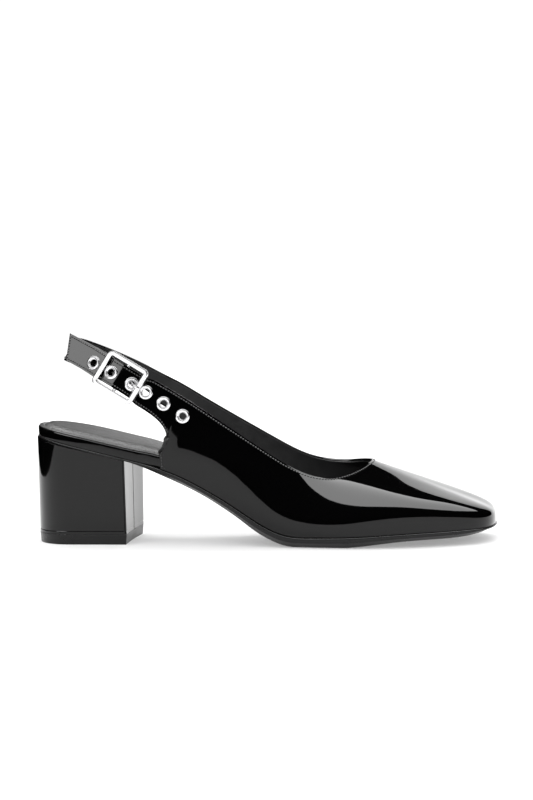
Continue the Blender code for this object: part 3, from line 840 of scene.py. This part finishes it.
def rubber_finish():
    """Black sole rubber, half matt, with a moulded tooth."""
    finish = Finish("sole_rubber", (0.002, 0.002, 0.0021), 0.3, IOR=1.38)
    tooth = finish.noise(1400.0, 3.0, 0.6)
    shade = finish.noise(70.0, 3.0, 0.5)
    finish.set("Base Color", finish.colours(shade, (0.0015, 0.0015, 0.0016), (0.003, 0.003, 0.0031)))
    finish.set("Roughness", shade * 0.14 + 0.22)
    return finish.bump(tooth, 0.04)


def metal_finish():
    """Bright plated metal with hairline polishing marks."""
    finish = Finish("polished_metal", (0.95, 0.95, 0.96), 0.2, Metallic=1.0)
    marks = finish.noise(700.0, 3.0, 0.6, finish.place((1, 1, 9)))
    finish.set("Roughness", marks * 0.1 + 0.16)
    return finish.bump(marks, 0.0008)


def thread_finish():
    """Dark waxed thread, dull beside the patent."""
    finish = Finish("thread", (0.015, 0.015, 0.0152), 0.4, IOR=1.45)
    strands = finish.noise(2600.0, 2.0)
    finish.set("Base Color", finish.colours(strands, (0.008, 0.008, 0.0081), (0.026, 0.026, 0.0262)))
    return finish.bump(strands, 0.04)


def studio_finish(name, colour):
    """Matt paper, a very little uneven."""
    finish = Finish(name, colour, 0.85, IOR=1.3)
    finish.set("Base Color", finish.colours(finish.noise(3.0, 2.0), colour, [c * 0.995 for c in colour]))
    return finish


PATENT = patent_finish()
LINING_LEATHER = lining_finish()
SOCK_LEATHER = sock_finish()
RUBBER = rubber_finish()
METAL = metal_finish()
THREAD_FINISH = thread_finish()
PAPER = studio_finish("paper_white", (0.93, 0.93, 0.93))


def dress(item, finish, nodes=()):
    """Gives a finished piece its material and its body, and hides the CAD nodes it stands for."""
    item.data.materials.clear()
    item.data.materials.append(finish.material)
    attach(item, "root")
    if nodes:
        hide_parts(*nodes)
    return item


# Upper leather and lining
ROWS, LAST_START, LAST_END = wall_rows()
AWAY = face_normals(ROWS)


def on_strap(along, across):
    """The outer face of the strap or quarter, seen squarely from well outside the shoe."""
    start, inwards = (Vector(buckle_point(along, across, y)) for y in (OUTSIDE, OUTSIDE + 1))
    return FACE.ray_cast(start, inwards - start)[0]


def row_tree():
    """The strap and the rear of the outer quarter, on every other rib, to look places up on."""
    rows = ROWS[:LAST_START + 80:2, ::3]
    count = rows.shape[1]
    points = [Vector(point) for row in rows for point in row]
    faces = [(i + j, i + j + 1, i + j + count + 1, i + j + count)
             for i in range(0, len(points) - count, count) for j in range(count - 1)]
    return BVHTree.FromPolygons(points, faces)


FACE = row_tree()


def eyelet_places():
    """Each eyelet's middle on the strap's outer face, and the direction that leaves the face."""
    places = []
    for along, across in zip(*EYELETS.values()):
        heelward, toeward = on_strap(along - EYELET_SPAN, across), on_strap(along + EYELET_SPAN, across)
        below, above = on_strap(along, across - EYELET_SPAN), on_strap(along, across + EYELET_SPAN)
        away = (toeward - heelward).cross(above - below).normalized()
        places.append(((heelward + toeward + below + above) / 4, away))
    return places


PLACES = eyelet_places()


def punch(item):
    """Cuts the eyelets' holes through a piece."""
    for middle, away in PLACES:
        combine(item, rod("punch", middle - away * 4, middle + away * 3, STRAP_HOLE, 32), "DIFFERENCE")


def sheet(name, rows, thickness, edge, segments):
    """A sheet of leather on ribs: its outer face on them, its thickness inwards and its edges rounded."""
    item = grid_piece(name, rows)
    modify(item, "SOLIDIFY", thickness=thickness * MM, offset=-1, use_even_offset=False,
           use_quality_normals=True)
    round_edges(item, edge, segments, 55)
    return item


def make_upper():
    """Outer leather, with the sling's two loops round the middle bar and the slot for the prong."""
    upper = sheet("upper_leather", ROWS, LEATHER, 0.42, 3)
    for low, high in ((-LOOP_HALF, -SLOT_HALF), (SLOT_HALF, LOOP_HALF)):
        loop = bar_rod("loop", low, high, LOOP_RADIUS)
        round_edges(loop, 0.4, 3, 55)
        combine(upper, loop, "UNION")
    combine(upper, bar_rod("slot", -SLOT_HALF, SLOT_HALF, LOOP_RADIUS + GAP), "DIFFERENCE")
    combine(upper, bar_rod("bore", -FRAME_WIDE, FRAME_WIDE, BAR_HOLE, 24), "DIFFERENCE")
    punch(upper)
    shade(upper, 40)
    return dress(upper, PATENT, ["upper"])


def make_lining():
    """Lining, set back from the folded edges, and down to the sole along the last."""
    rows = []
    for i, row in enumerate(ROWS):
        inside = ease(i, LAST_START - 9, LAST_START) * ease(-i, -LAST_END - 8, -LAST_END)
        rows.append(trimmed(row - (LEATHER + 0.04) * AWAY[i], FOLD - 0.7 * inside, FOLD))
    lining = sheet("lining", rows[2:-BAR_ROWS], LINING, 0.25, 2)
    punch(lining)
    shade(lining, 40)
    return dress(lining, LINING_LEATHER)


# Stitches
def stitch():
    """One stitch: a short thread with rounded ends, lying along X."""
    deselect()
    bpy.ops.mesh.primitive_cylinder_add(vertices=6, radius=THREAD * MM, depth=STITCH_LENGTH * MM,
                                        rotation=(0, math.pi / 2, 0))
    item = settle(named("stitch"))
    pick(item, "FACE", lambda middle, normal: abs(normal.x) > 0.9)
    bpy.ops.mesh.inset(thickness=THREAD * 0.45 * MM, depth=0)
    object_mode()
    for vert in item.data.vertices:
        reach = math.hypot(vert.co.y, vert.co.z) / MM
        if reach < THREAD * 0.8:
            vert.co.x += math.copysign(STITCH_NOSE * MM, vert.co.x)
            vert.co.z -= STITCH_DIP * MM
    hold(item)
    bpy.ops.object.shade_smooth()
    return item


def seam(points, directions):
    """Places along a line at the stitch pitch, each with its own directions."""
    points, directions = np.array(points), np.array(directions)
    way = lengths(points)
    count = max(2, int(round(way[-1] / STITCH_PITCH)))
    spots = (np.arange(count) + 0.5) * way[-1] / count
    here = along_line(points, way, spots)
    ahead, behind = (along_line(points, way, spots + step) for step in (STITCH_SPAN, -STITCH_SPAN))
    return zip(here, ahead - behind, along_line(directions, way, spots))


def seam_lines():
    """The stitch lines: along the topline, round the straps and down the quarters' back edges."""
    lines = []
    top, bottom_strap, bottom_sling = [], [], []
    for i, row in enumerate(ROWS):
        top.append((row_point(row, STITCH_MARGIN), AWAY[i, -2]))
        if i <= LAST_START:
            bottom_strap.append((row_point(row, STITCH_MARGIN, True), AWAY[i, 1]))
        if i >= LAST_END - 1:
            bottom_sling.append((row_point(row, STITCH_MARGIN, True), AWAY[i, 1]))
    skip = int(round(STITCH_MARGIN / RIB_PITCH))
    lines.append(top[skip:-BAR_ROWS])
    lines.append(bottom_strap[skip:])
    lines.append(bottom_sling[:-BAR_ROWS])
    tip = trimmed(ROWS[skip], STITCH_MARGIN, STITCH_MARGIN)
    lines.append([(point, AWAY[skip, 20]) for point in tip])
    return [seam([p for p, _ in line], [d for _, d in line]) for line in lines]


def make_stitches():
    """All the stitches as one piece, each a copy of the same thread."""
    model = stitch()
    corners = np.array([vert.co for vert in model.data.vertices]) / MM
    faces = [list(face.vertices) for face in model.data.polygons]
    bpy.data.objects.remove(model)
    verts, polygons = [], []
    for line in seam_lines():
        for here, ahead, away in line:
            ahead = ahead / np.linalg.norm(ahead)
            side = np.cross(away, ahead)
            side /= np.linalg.norm(side)
            up = np.cross(ahead, side)
            turn = np.stack([ahead, side, up], axis=1)
            start = len(verts)
            verts += list(corners @ turn.T + here + up * STITCH_LIFT)
            polygons += [[start + i for i in face] for face in faces]
    item = hold(mesh_piece("stitches", verts, polygons))
    bpy.ops.object.shade_smooth()
    return dress(outwards(item), THREAD_FINISH)


# Pieces on the last's outline
REACH = -OUTER_END
WAYS = np.linspace(0, REACH, 150)


def contour(inset, height):
    """A closed line at an inset from the feather line, with its height by place; both take x."""
    points = []
    for side, ways in ((-1, WAYS[::-1]), (1, WAYS[1:-1])):
        for way in ways:
            x = outline_point(way, side)[0]
            spot = outline_point(way, side, inset(x))
            points.append((spot[0], spot[1], height(spot[0])))
    return np.array(points)


def contour_piece(name, contours, low_cap, high_cap, across=9):
    """A closed solid through contours from its underside to its top.

    A cap is a height by x, the share of the way across and the edge's own height.
    """
    count = len(contours[0])
    half = count // 2
    verts = [tuple(point) for ring in contours for point in ring]
    faces = []
    for level in range(len(contours) - 1):
        a, b = level * count, (level + 1) * count
        faces += [(a + i, a + (i + 1) % count, b + (i + 1) % count, b + i) for i in range(count)]
    for ring, height, turn in ((0, low_cap, True), (len(contours) - 1, high_cap, False)):
        base = ring * count
        lines = []
        for k in range(1, half):
            start, end = contours[ring][k], contours[ring][count - k]
            line = [base + k]
            for j in range(1, across):
                share = j / across
                spot = start + (end - start) * share
                verts.append((spot[0], spot[1], height(spot[0], share, spot[2])))
                line.append(len(verts) - 1)
            line.append(base + count - k)
            lines.append(line)
        cap = []
        for near, far in zip(lines, lines[1:]):
            cap += [(near[j], far[j], far[j + 1], near[j + 1]) for j in range(across)]
        cap += [(base, lines[0][j], lines[0][j + 1]) for j in range(across)]
        cap += [(base + half, lines[-1][j + 1], lines[-1][j]) for j in range(across)]
        faces += [face[::-1] for face in cap] if turn else cap
    return outwards(mesh_piece(name, verts, faces))


def sole_bottom(x):
    z = SOLE_BOTTOM(min(x, SOLE["x"][-1]))
    return z if z > FLAT else 0.0


def sole_ledge(x):
    return -(SEAT_LEDGE + (LEDGE - SEAT_LEDGE) * ease(x, HEEL_FRONT, 60))


def sole_under(x):
    return SOLE_INSET * ease(x, HEEL_FRONT + 4, 60) + 0.4


def make_outsole():
    """Sheet sole: a rolled underside, an upright edge and a ledge that stands out past the upper."""
    def waist(x):
        return SOLE_TOP(x) + (sole_bottom(x) - SOLE_TOP(x)) * SOLE_EDGE

    def between(share, bulge):
        return (lambda x: sole_ledge(x) + (sole_under(x) - sole_ledge(x)) * share - bulge,
                lambda x: waist(x) + (sole_bottom(x) - waist(x)) * (share ** 1.15))

    levels = [
        (lambda x: sole_under(x) + 0.35, sole_bottom),
        between(0.96, 0.05),
        between(0.8, 0.12),
        between(0.5, 0.16),
        between(0.22, 0.1),
        between(0.06, 0.02),
        (sole_ledge, lambda x: waist(x) + 0.3),
        (sole_ledge, lambda x: SOLE_TOP(x) - 0.42),
        (lambda x: sole_ledge(x) + 0.05, lambda x: SOLE_TOP(x) - 0.18),
        (lambda x: sole_ledge(x) + 0.2, lambda x: SOLE_TOP(x) - 0.04),
        (lambda x: sole_ledge(x) + 0.42, SOLE_TOP),
        (lambda x: sole_ledge(x) + 2.0, SOLE_TOP),
    ]
    contours = [contour(inset, height) for inset, height in levels]
    sole = contour_piece("outsole_sheet", contours, lambda x, share, z: sole_bottom(x),
                         lambda x, share, z: SOLE_TOP(x))
    shade(sole, 50)
    return dress(sole, RUBBER, ["outsole"])


def inner_inset(x):
    return (WALL + 0.7) * ease(x, 33, 44)


def seat_top(x):
    return SEAT_TOP(min(x, SEAT_END))


def make_rand():
    """The covered edge of the heel seat, with its board running on into the waist."""
    base = GAP * 0.6

    def level(inset, share, lift):
        return contour(lambda x: inner_inset(x) + inset,
                       lambda x: SOLE_TOP(x) + (seat_top(x) - SOLE_TOP(x)) * share + lift)

    profile = ((0.25, 0, base), (0.02, 0, base + 0.25), (0, 0, 0.5), (0, 0.5, 0), (0, 1, -0.7),
               (0.02, 1, -0.36), (0.13, 1, -0.12), (0.36, 1, -0.02), (0.7, 1, 0), (3.0, 1, 0))
    rand = contour_piece("seat_rand", [level(*row) for row in profile],
                         lambda x, share, z: SOLE_TOP(x) + base, lambda x, share, z: seat_top(x))
    cut(rand, (SEAT_END - 1, 0, 0), (1, 0, 0), clear=True)
    shade(rand, 45)
    return dress(rand, PATENT, ["heel_seat"])


def footbed(x):
    return max(SEAT_TOP(x) if x < SEAT_END + 1 else 0, SOLE_TOP(x)) + GAP


def make_sock():
    """Padded sock: a flat rim, a pressed groove and a crowned pad."""
    profile = ((0.0, 0.05), (0.0, 0.3), (0.1, 0.5), (0.35, 0.68), (0.9, 0.8), (2.1, 0.9), (2.45, 0.86),
               (2.7, 0.66), (2.95, 0.64), (3.2, 0.9), (3.7, 1.35), (4.5, 1.9), (5.6, 2.45), (7.2, 2.85))
    contours = []
    for inset, height in profile:
        contours.append(contour(lambda x, d=inset: inner_inset(x) + 0.55 + d,
                                lambda x, h=height: footbed(x) + h))
    rise = profile[-1][1]
    sock = contour_piece("sock", contours, lambda x, share, z: footbed(x) + 0.05,
                         lambda x, share, z: footbed(x) + rise + 0.25 * math.sin(math.pi * share) ** 0.7, 15)
    shade(sock, 70)
    dress(sock, SOCK_LEATHER, ["insole"])
    return sock


# Heel and its top piece
def heel_block(name, half, low, high):
    """Half round at the back and flat in front, between two heights."""
    deselect()
    root = HEEL_BACK + HEEL_ROUND
    bpy.ops.mesh.primitive_cylinder_add(vertices=128, radius=half * MM, depth=(high - low) * MM,
                                        location=(root * MM, 0, (low + high) / 2 * MM))
    block = named(name)
    block.scale = (HEEL_ROUND / half, 1, 1)
    settle(block)
    cut(block, (root, 0, 0), (1, 0, 0), clear=True)
    pick(block, "FACE", lambda middle, normal: normal.x > 0.99)
    bpy.ops.mesh.extrude_region_move(TRANSFORM_OT_translate={"value": ((HEEL_FRONT - root) * MM, 0, 0)})
    object_mode()
    return block


def hollow_breast(block, seam):
    """Sinks a block's flat front into a shallow hollow, with a seam down its middle if it has one."""
    for vert in block.data.vertices:
        x, y = vert.co.x / MM, vert.co.y / MM
        if x > HEEL_FRONT - 0.1:
            hollow = BREAST_HOLLOW * (1 - min(1, abs(y) / HOLLOW_HALF) ** 2)
            vert.co.x -= (hollow + (seam if abs(y) < 0.1 else 0)) * MM


def make_heel():
    """Covered heel: a flared block under the sloping seat, with its breast seam and its cover's folds."""
    low = TOP_PIECE + 0.12
    heel = heel_block("heel_cover", TREAD_HALF, low, HEEL_TOP)
    for vert in heel.data.vertices:
        rise = (vert.co.z / MM - low) / (FLARE_TOP - low)
        vert.co.y *= 1 + (SEAT_HALF / TREAD_HALF - 1) * rise
    back, front = SOLE_BOTTOM(HEEL_BACK + 1) - 0.1, SOLE_BOTTOM(HEEL_FRONT) - 0.1
    slope = Vector((back - front, 0, HEEL_FRONT - HEEL_BACK - 1))
    cut(heel, (HEEL_FRONT, 0, front), slope.normalized(), clear=True)
    slice_at(heel, (0, 1, 0), (-19, -14, -9, -4.5, -BREAST_SEAM, 0, BREAST_SEAM, 4.5, 9, 14, 19))
    hollow_breast(heel, BREAST_SEAM)
    edge = HEEL_FRONT - COVER_EDGE
    slice_at(heel, (1, 0, 0), (edge + COVER_EDGE_HALF, edge, edge - COVER_EDGE_HALF))
    for vert in heel.data.vertices:
        if abs(vert.co.x / MM - edge) < 0.02:
            vert.co.y *= 1 - COVER_EDGE_DEEP / TREAD_HALF
    fold = low + FOOT_FOLD
    slice_at(heel, (0, 0, 1), (fold - FOOT_FOLD_HALF, fold, fold + FOOT_FOLD_HALF))
    for vert in heel.data.vertices:
        if abs(vert.co.z / MM - fold) < 0.02:
            vert.co.y *= 1 - FOOT_FOLD_DEEP / TREAD_HALF
            vert.co.x -= FOOT_FOLD_DEEP * MM * (1 if vert.co.x > 0 else -1)
    soften(outwards(heel), 0.5, segments=4, angle=38)
    return dress(heel, PATENT, ["heel"])


def make_top_piece():
    """Rubber top piece, drawn in a little at the floor."""
    block = heel_block("heel_top_piece", TREAD_HALF, 0, TOP_PIECE)
    slice_at(block, (0, 1, 0), (-19, -14, -9, -4.5, 0, 4.5, 9, 14, 19))
    hollow_breast(block, 0)
    pick(block, "FACE", lambda middle, normal: normal.z < -0.9)
    bpy.ops.transform.resize(value=(1 - TREAD_DRAW / HEEL_FRONT, 1 - TREAD_DRAW / TREAD_HALF, 1))
    object_mode()
    soften(outwards(block), 0.35, segments=3, angle=40)
    return dress(block, RUBBER, ["top_piece"])


# Buckle and eyelets
def to_buckle(item, y):
    """Moves a piece made flat at the origin into the buckle's own leaning plane."""
    middle = Vector(buckle_point(0, 0, y))
    along = Vector(buckle_point(1, 0, y)) - middle
    across = Vector(buckle_point(0, 1, y)) - middle
    turn = Matrix((along, across, along.cross(across))).transposed().to_4x4()
    item.matrix_world = Matrix.Translation(middle * MM) @ turn
    return settle(item)


def make_buckle():
    """Frame of one rounded bar, and the middle bar that drops behind the strap."""
    deselect()
    bpy.ops.mesh.primitive_plane_add(size=MM)
    buckle = named("buckle")
    buckle.scale = (FRAME_LONG, FRAME_WIDE, 1)
    settle(buckle)
    pick(buckle, "VERT", lambda spot: True)
    bpy.ops.mesh.bevel(offset=FRAME_CORNER * MM, segments=12, affect="VERTICES")
    object_mode()
    pick(buckle, "FACE", lambda middle, normal: True)
    bpy.ops.mesh.inset(thickness=2 * FRAME_BAR * MM, depth=0)
    bpy.ops.mesh.delete(type="FACE")
    bpy.ops.mesh.select_all(action="SELECT")
    bpy.ops.mesh.extrude_region_move(TRANSFORM_OT_translate={"value": (0, 0, FRAME_DEEP * MM)})
    object_mode()
    outwards(buckle)
    for vert in buckle.data.vertices:
        vert.co.z -= FRAME_DEEP / 2 * MM
    round_edges(buckle, 0.8, 6, 80)
    to_buckle(buckle, FRAME_Y)
    side = FRAME_WIDE / 2 - FRAME_BAR
    corner = 1.1
    bend = [(side - corner + corner * math.sin(a), BAR_Y - corner + corner * math.cos(a))
            for a in np.linspace(0, math.pi / 2, 9)]
    path = [buckle_point(0, side, FRAME_Y)] + [buckle_point(0, s, y) for s, y in bend[::-1]]
    path += [buckle_point(0, -s, y) for s, y in bend] + [buckle_point(0, -side, FRAME_Y)]
    bar = wire("bar", path, BAR_RADIUS)
    hold(outwards(buckle))
    bar.select_set(True)
    bpy.ops.object.join()
    shade(buckle, 50)
    return dress(buckle, METAL, ["buckle_frame"])


def make_prong():
    """Prong from its ring on the middle bar, up through the fourth eyelet and over the frame."""
    way = np.arange(len(PRONG["along"]), dtype=float)
    at = spline(way, list(zip(PRONG["along"], PRONG["y"])))
    spots = np.linspace(0, way[-1], 57)
    points = [buckle_point(at(t)[0], 0, at(t)[1]) for t in spots]
    tapers = [float(np.interp(t, way, PRONG["taper"])) for t in spots]
    prong = wire("prong", points, PRONG_RADIUS, tapers)
    ring = bar_rod("ring", 0.6 - SLOT_HALF, SLOT_HALF - 0.6, LOOP_RADIUS - 0.2)
    round_edges(ring, 0.4, 3, 50)
    combine(prong, ring, "UNION")
    combine(prong, bar_rod("bore", -4, 4, BAR_HOLE - 0.05, 32), "DIFFERENCE")
    round_edges(prong, 0.2, 3, 60)
    shade(outwards(prong), 50)
    return dress(prong, METAL, ["buckle_prong"])


def eyelet_model():
    """One eyelet, turned from its profile: rolled rim, funnel, barrel and the clenched washer behind."""
    rim = [(3.9, 0.02), (3.88, 0.22), (3.72, 0.45), (3.4, 0.64), (3.0, 0.72), (2.62, 0.66), (2.4, 0.5),
           (2.3, 0.3), (2.2, 0.14), (2.02, 0.06), (1.93, -0.1), (1.9, -0.5), (1.9, -2.2), (2.05, -2.35),
           (2.5, -2.42), (2.95, -2.36), (3.1, -2.2), (3.0, -2.08), (2.45, -2.05), (2.45, 0.02)]
    deselect()
    bpy.ops.mesh.primitive_circle_add(vertices=64, radius=rim[0][0] * MM, location=(0, 0, rim[0][1] * MM))
    item = settle(named("eyelet"))
    pick(item, "VERT", lambda spot: True)
    for (radius, height), (wider, higher) in zip(rim, rim[1:] + rim[:1]):
        bpy.ops.mesh.extrude_region_move(TRANSFORM_OT_translate={"value": (0, 0, (higher - height) * MM)})
        share = wider / radius
        bpy.ops.transform.resize(value=(share, share, 1))
    object_mode()
    shade(outwards(item), 60)
    return item


def make_eyelets():
    """The six eyelets, each a copy of one, set square to the strap's face."""
    model = eyelet_model()
    for number, (middle, away) in enumerate(PLACES, 1):
        ring = model.copy()
        ring.data = model.data.copy()
        ring.name = ring.data.name = "eyelet_ring_" + str(number)
        link(ring)
        turn = away.to_track_quat("Z", "Y").to_matrix().to_4x4()
        ring.matrix_world = Matrix.Translation(middle * MM) @ turn
        dress(settle(ring), METAL, ["eyelet_" + str(number)])
    bpy.data.objects.remove(model)


make_upper()
make_lining()
make_stitches()
make_outsole()
make_rand()
make_sock()
make_heel()
make_top_piece()
make_buckle()
make_prong()
make_eyelets()

# Camera at the photograph's angle
AZIMUTH, ELEVATION, ROLL = math.radians(8.688), math.radians(4.326), math.radians(-1.094)
DISTANCE = 1300.0
TARGET = Vector((101.11, 0, 76.488))
PIXELS_PER_MM = 1.835
PICTURE_HEIGHT = 800
SENSOR = 36


def make_camera():
    back = Vector((math.sin(AZIMUTH) * math.cos(ELEVATION), -math.cos(AZIMUTH) * math.cos(ELEVATION),
                   math.sin(ELEVATION)))
    right = Vector((math.cos(AZIMUTH), math.sin(AZIMUTH), 0))
    up = back.cross(right)
    spot = (TARGET + back * DISTANCE) * MM
    level = math.cos(ROLL) * right + math.sin(ROLL) * up
    upright = -math.sin(ROLL) * right + math.cos(ROLL) * up
    lens = bpy.data.cameras.new("camera")
    camera = link(bpy.data.objects.new("camera", lens))
    camera.matrix_world = Matrix(((level.x, upright.x, back.x, spot.x), (level.y, upright.y, back.y, spot.y),
                                  (level.z, upright.z, back.z, spot.z), (0, 0, 0, 1)))
    lens.sensor_width = SENSOR
    lens.lens = PIXELS_PER_MM * DISTANCE * SENSOR / PICTURE_HEIGHT
    lens.clip_end = 50
    bpy.context.scene.camera = camera


# Studio, in metres: a white paper sweep with its own lights, and soft boxes for the shoe and its metal
FLOOR_LEFT, FLOOR_RIGHT = -0.28, 1.5
FLOOR_FRONT, FLOOR_BACK = -0.92, 1.7
SWEEP_RADIUS = 0.6
SWEEP_TOP = 1.75


def make_sweep():
    """White paper that runs from the floor up behind the shoe."""
    rows = []
    path = [(FLOOR_FRONT, 0.0), (FLOOR_BACK, 0.0)]
    path += [(FLOOR_BACK + SWEEP_RADIUS * math.sin(a), SWEEP_RADIUS - SWEEP_RADIUS * math.cos(a))
             for a in np.linspace(0, math.pi / 2, 25)[1:]]
    path.append((FLOOR_BACK + SWEEP_RADIUS, SWEEP_TOP))
    for y, z in path:
        rows.append([(FLOOR_LEFT / MM, y / MM, z / MM), (FLOOR_RIGHT / MM, y / MM, z / MM)])
    sweep = grid_piece("paper_sweep", rows)
    hold(sweep)
    bpy.ops.object.shade_smooth()
    sweep.data.materials.append(PAPER.material)


def soft_box(name, middle, aim, size, radiance, lit):
    """A rectangular soft box of an even brightness, flagged off all but the pieces it lights."""
    light = bpy.data.lights.new(name, "AREA")
    light.shape = "RECTANGLE"
    light.size, light.size_y = size
    light.energy = radiance * size[0] * size[1] * math.pi
    item = link(bpy.data.objects.new(name, light))
    turn = (Vector(middle) - Vector(aim)).to_track_quat("Z", "Y").to_matrix().to_4x4()
    item.matrix_world = Matrix.Translation(Vector(middle)) @ turn
    item.light_linking.receiver_collection = lit
    return item


def group(name, finishes):
    """A collection of the pieces that have one of these finishes."""
    held = bpy.data.collections.new(name)
    for item in bpy.data.objects:
        if item.type == "MESH" and item.active_material in [finish.material for finish in finishes]:
            held.objects.link(item)
    return held


def make_studio():
    """Each light's middle, aim, size and brightness; the white world lights all but mirror reflections."""
    shoe = group("shoe", [PATENT, LINING_LEATHER, SOCK_LEATHER, RUBBER, THREAD_FINISH])
    metal = group("metal", [METAL])
    make_sweep()
    paper = group("paper", [PAPER])
    soft_box("top_box", (0.27, -0.305, 1.03), (0.27, -0.305, 0), (2.8, 1.55), 7.5, shoe)
    soft_box("side_box", (-0.96, -1.04, 0.85), (0.02, -0.03, 0.09), (0.95, 0.6), 6.5, shoe)
    soft_box("metal_card", (-0.25, -1.75, 0.36), (0.03, -0.03, 0.09), (1.5, 1.1), 1.15, metal)
    soft_box("metal_side", (-0.96, -1.04, 0.8), (0.02, -0.03, 0.09), (0.95, 0.9), 1.1, metal)
    soft_box("metal_top", (0.1, -0.305, 1.03), (0.1, -0.305, 0), (1.6, 0.9), 0.9, metal)
    soft_box("wall_light", (0.4, 1.1, 2.4), (0.4, 2.0, 0.4), (3.0, 0.6), 3.0, paper)
    fill = soft_box("paper_fill", (0.4, 1.2, 2.2), (0.4, 1.1, 0), (3.0, 2.2), 1.7, paper)
    fill.light_linking.blocker_collection = paper
    world = bpy.data.worlds.new("studio")
    bpy.context.scene.world = world
    world.use_nodes = True
    world.node_tree.nodes["Background"].inputs["Color"].default_value = (1, 1, 1, 1)
    world.node_tree.nodes["Background"].inputs["Strength"].default_value = 1.1
    world.cycles_visibility.glossy = False
    bpy.context.scene.view_settings.view_transform = "Standard"


make_camera()
make_studio()
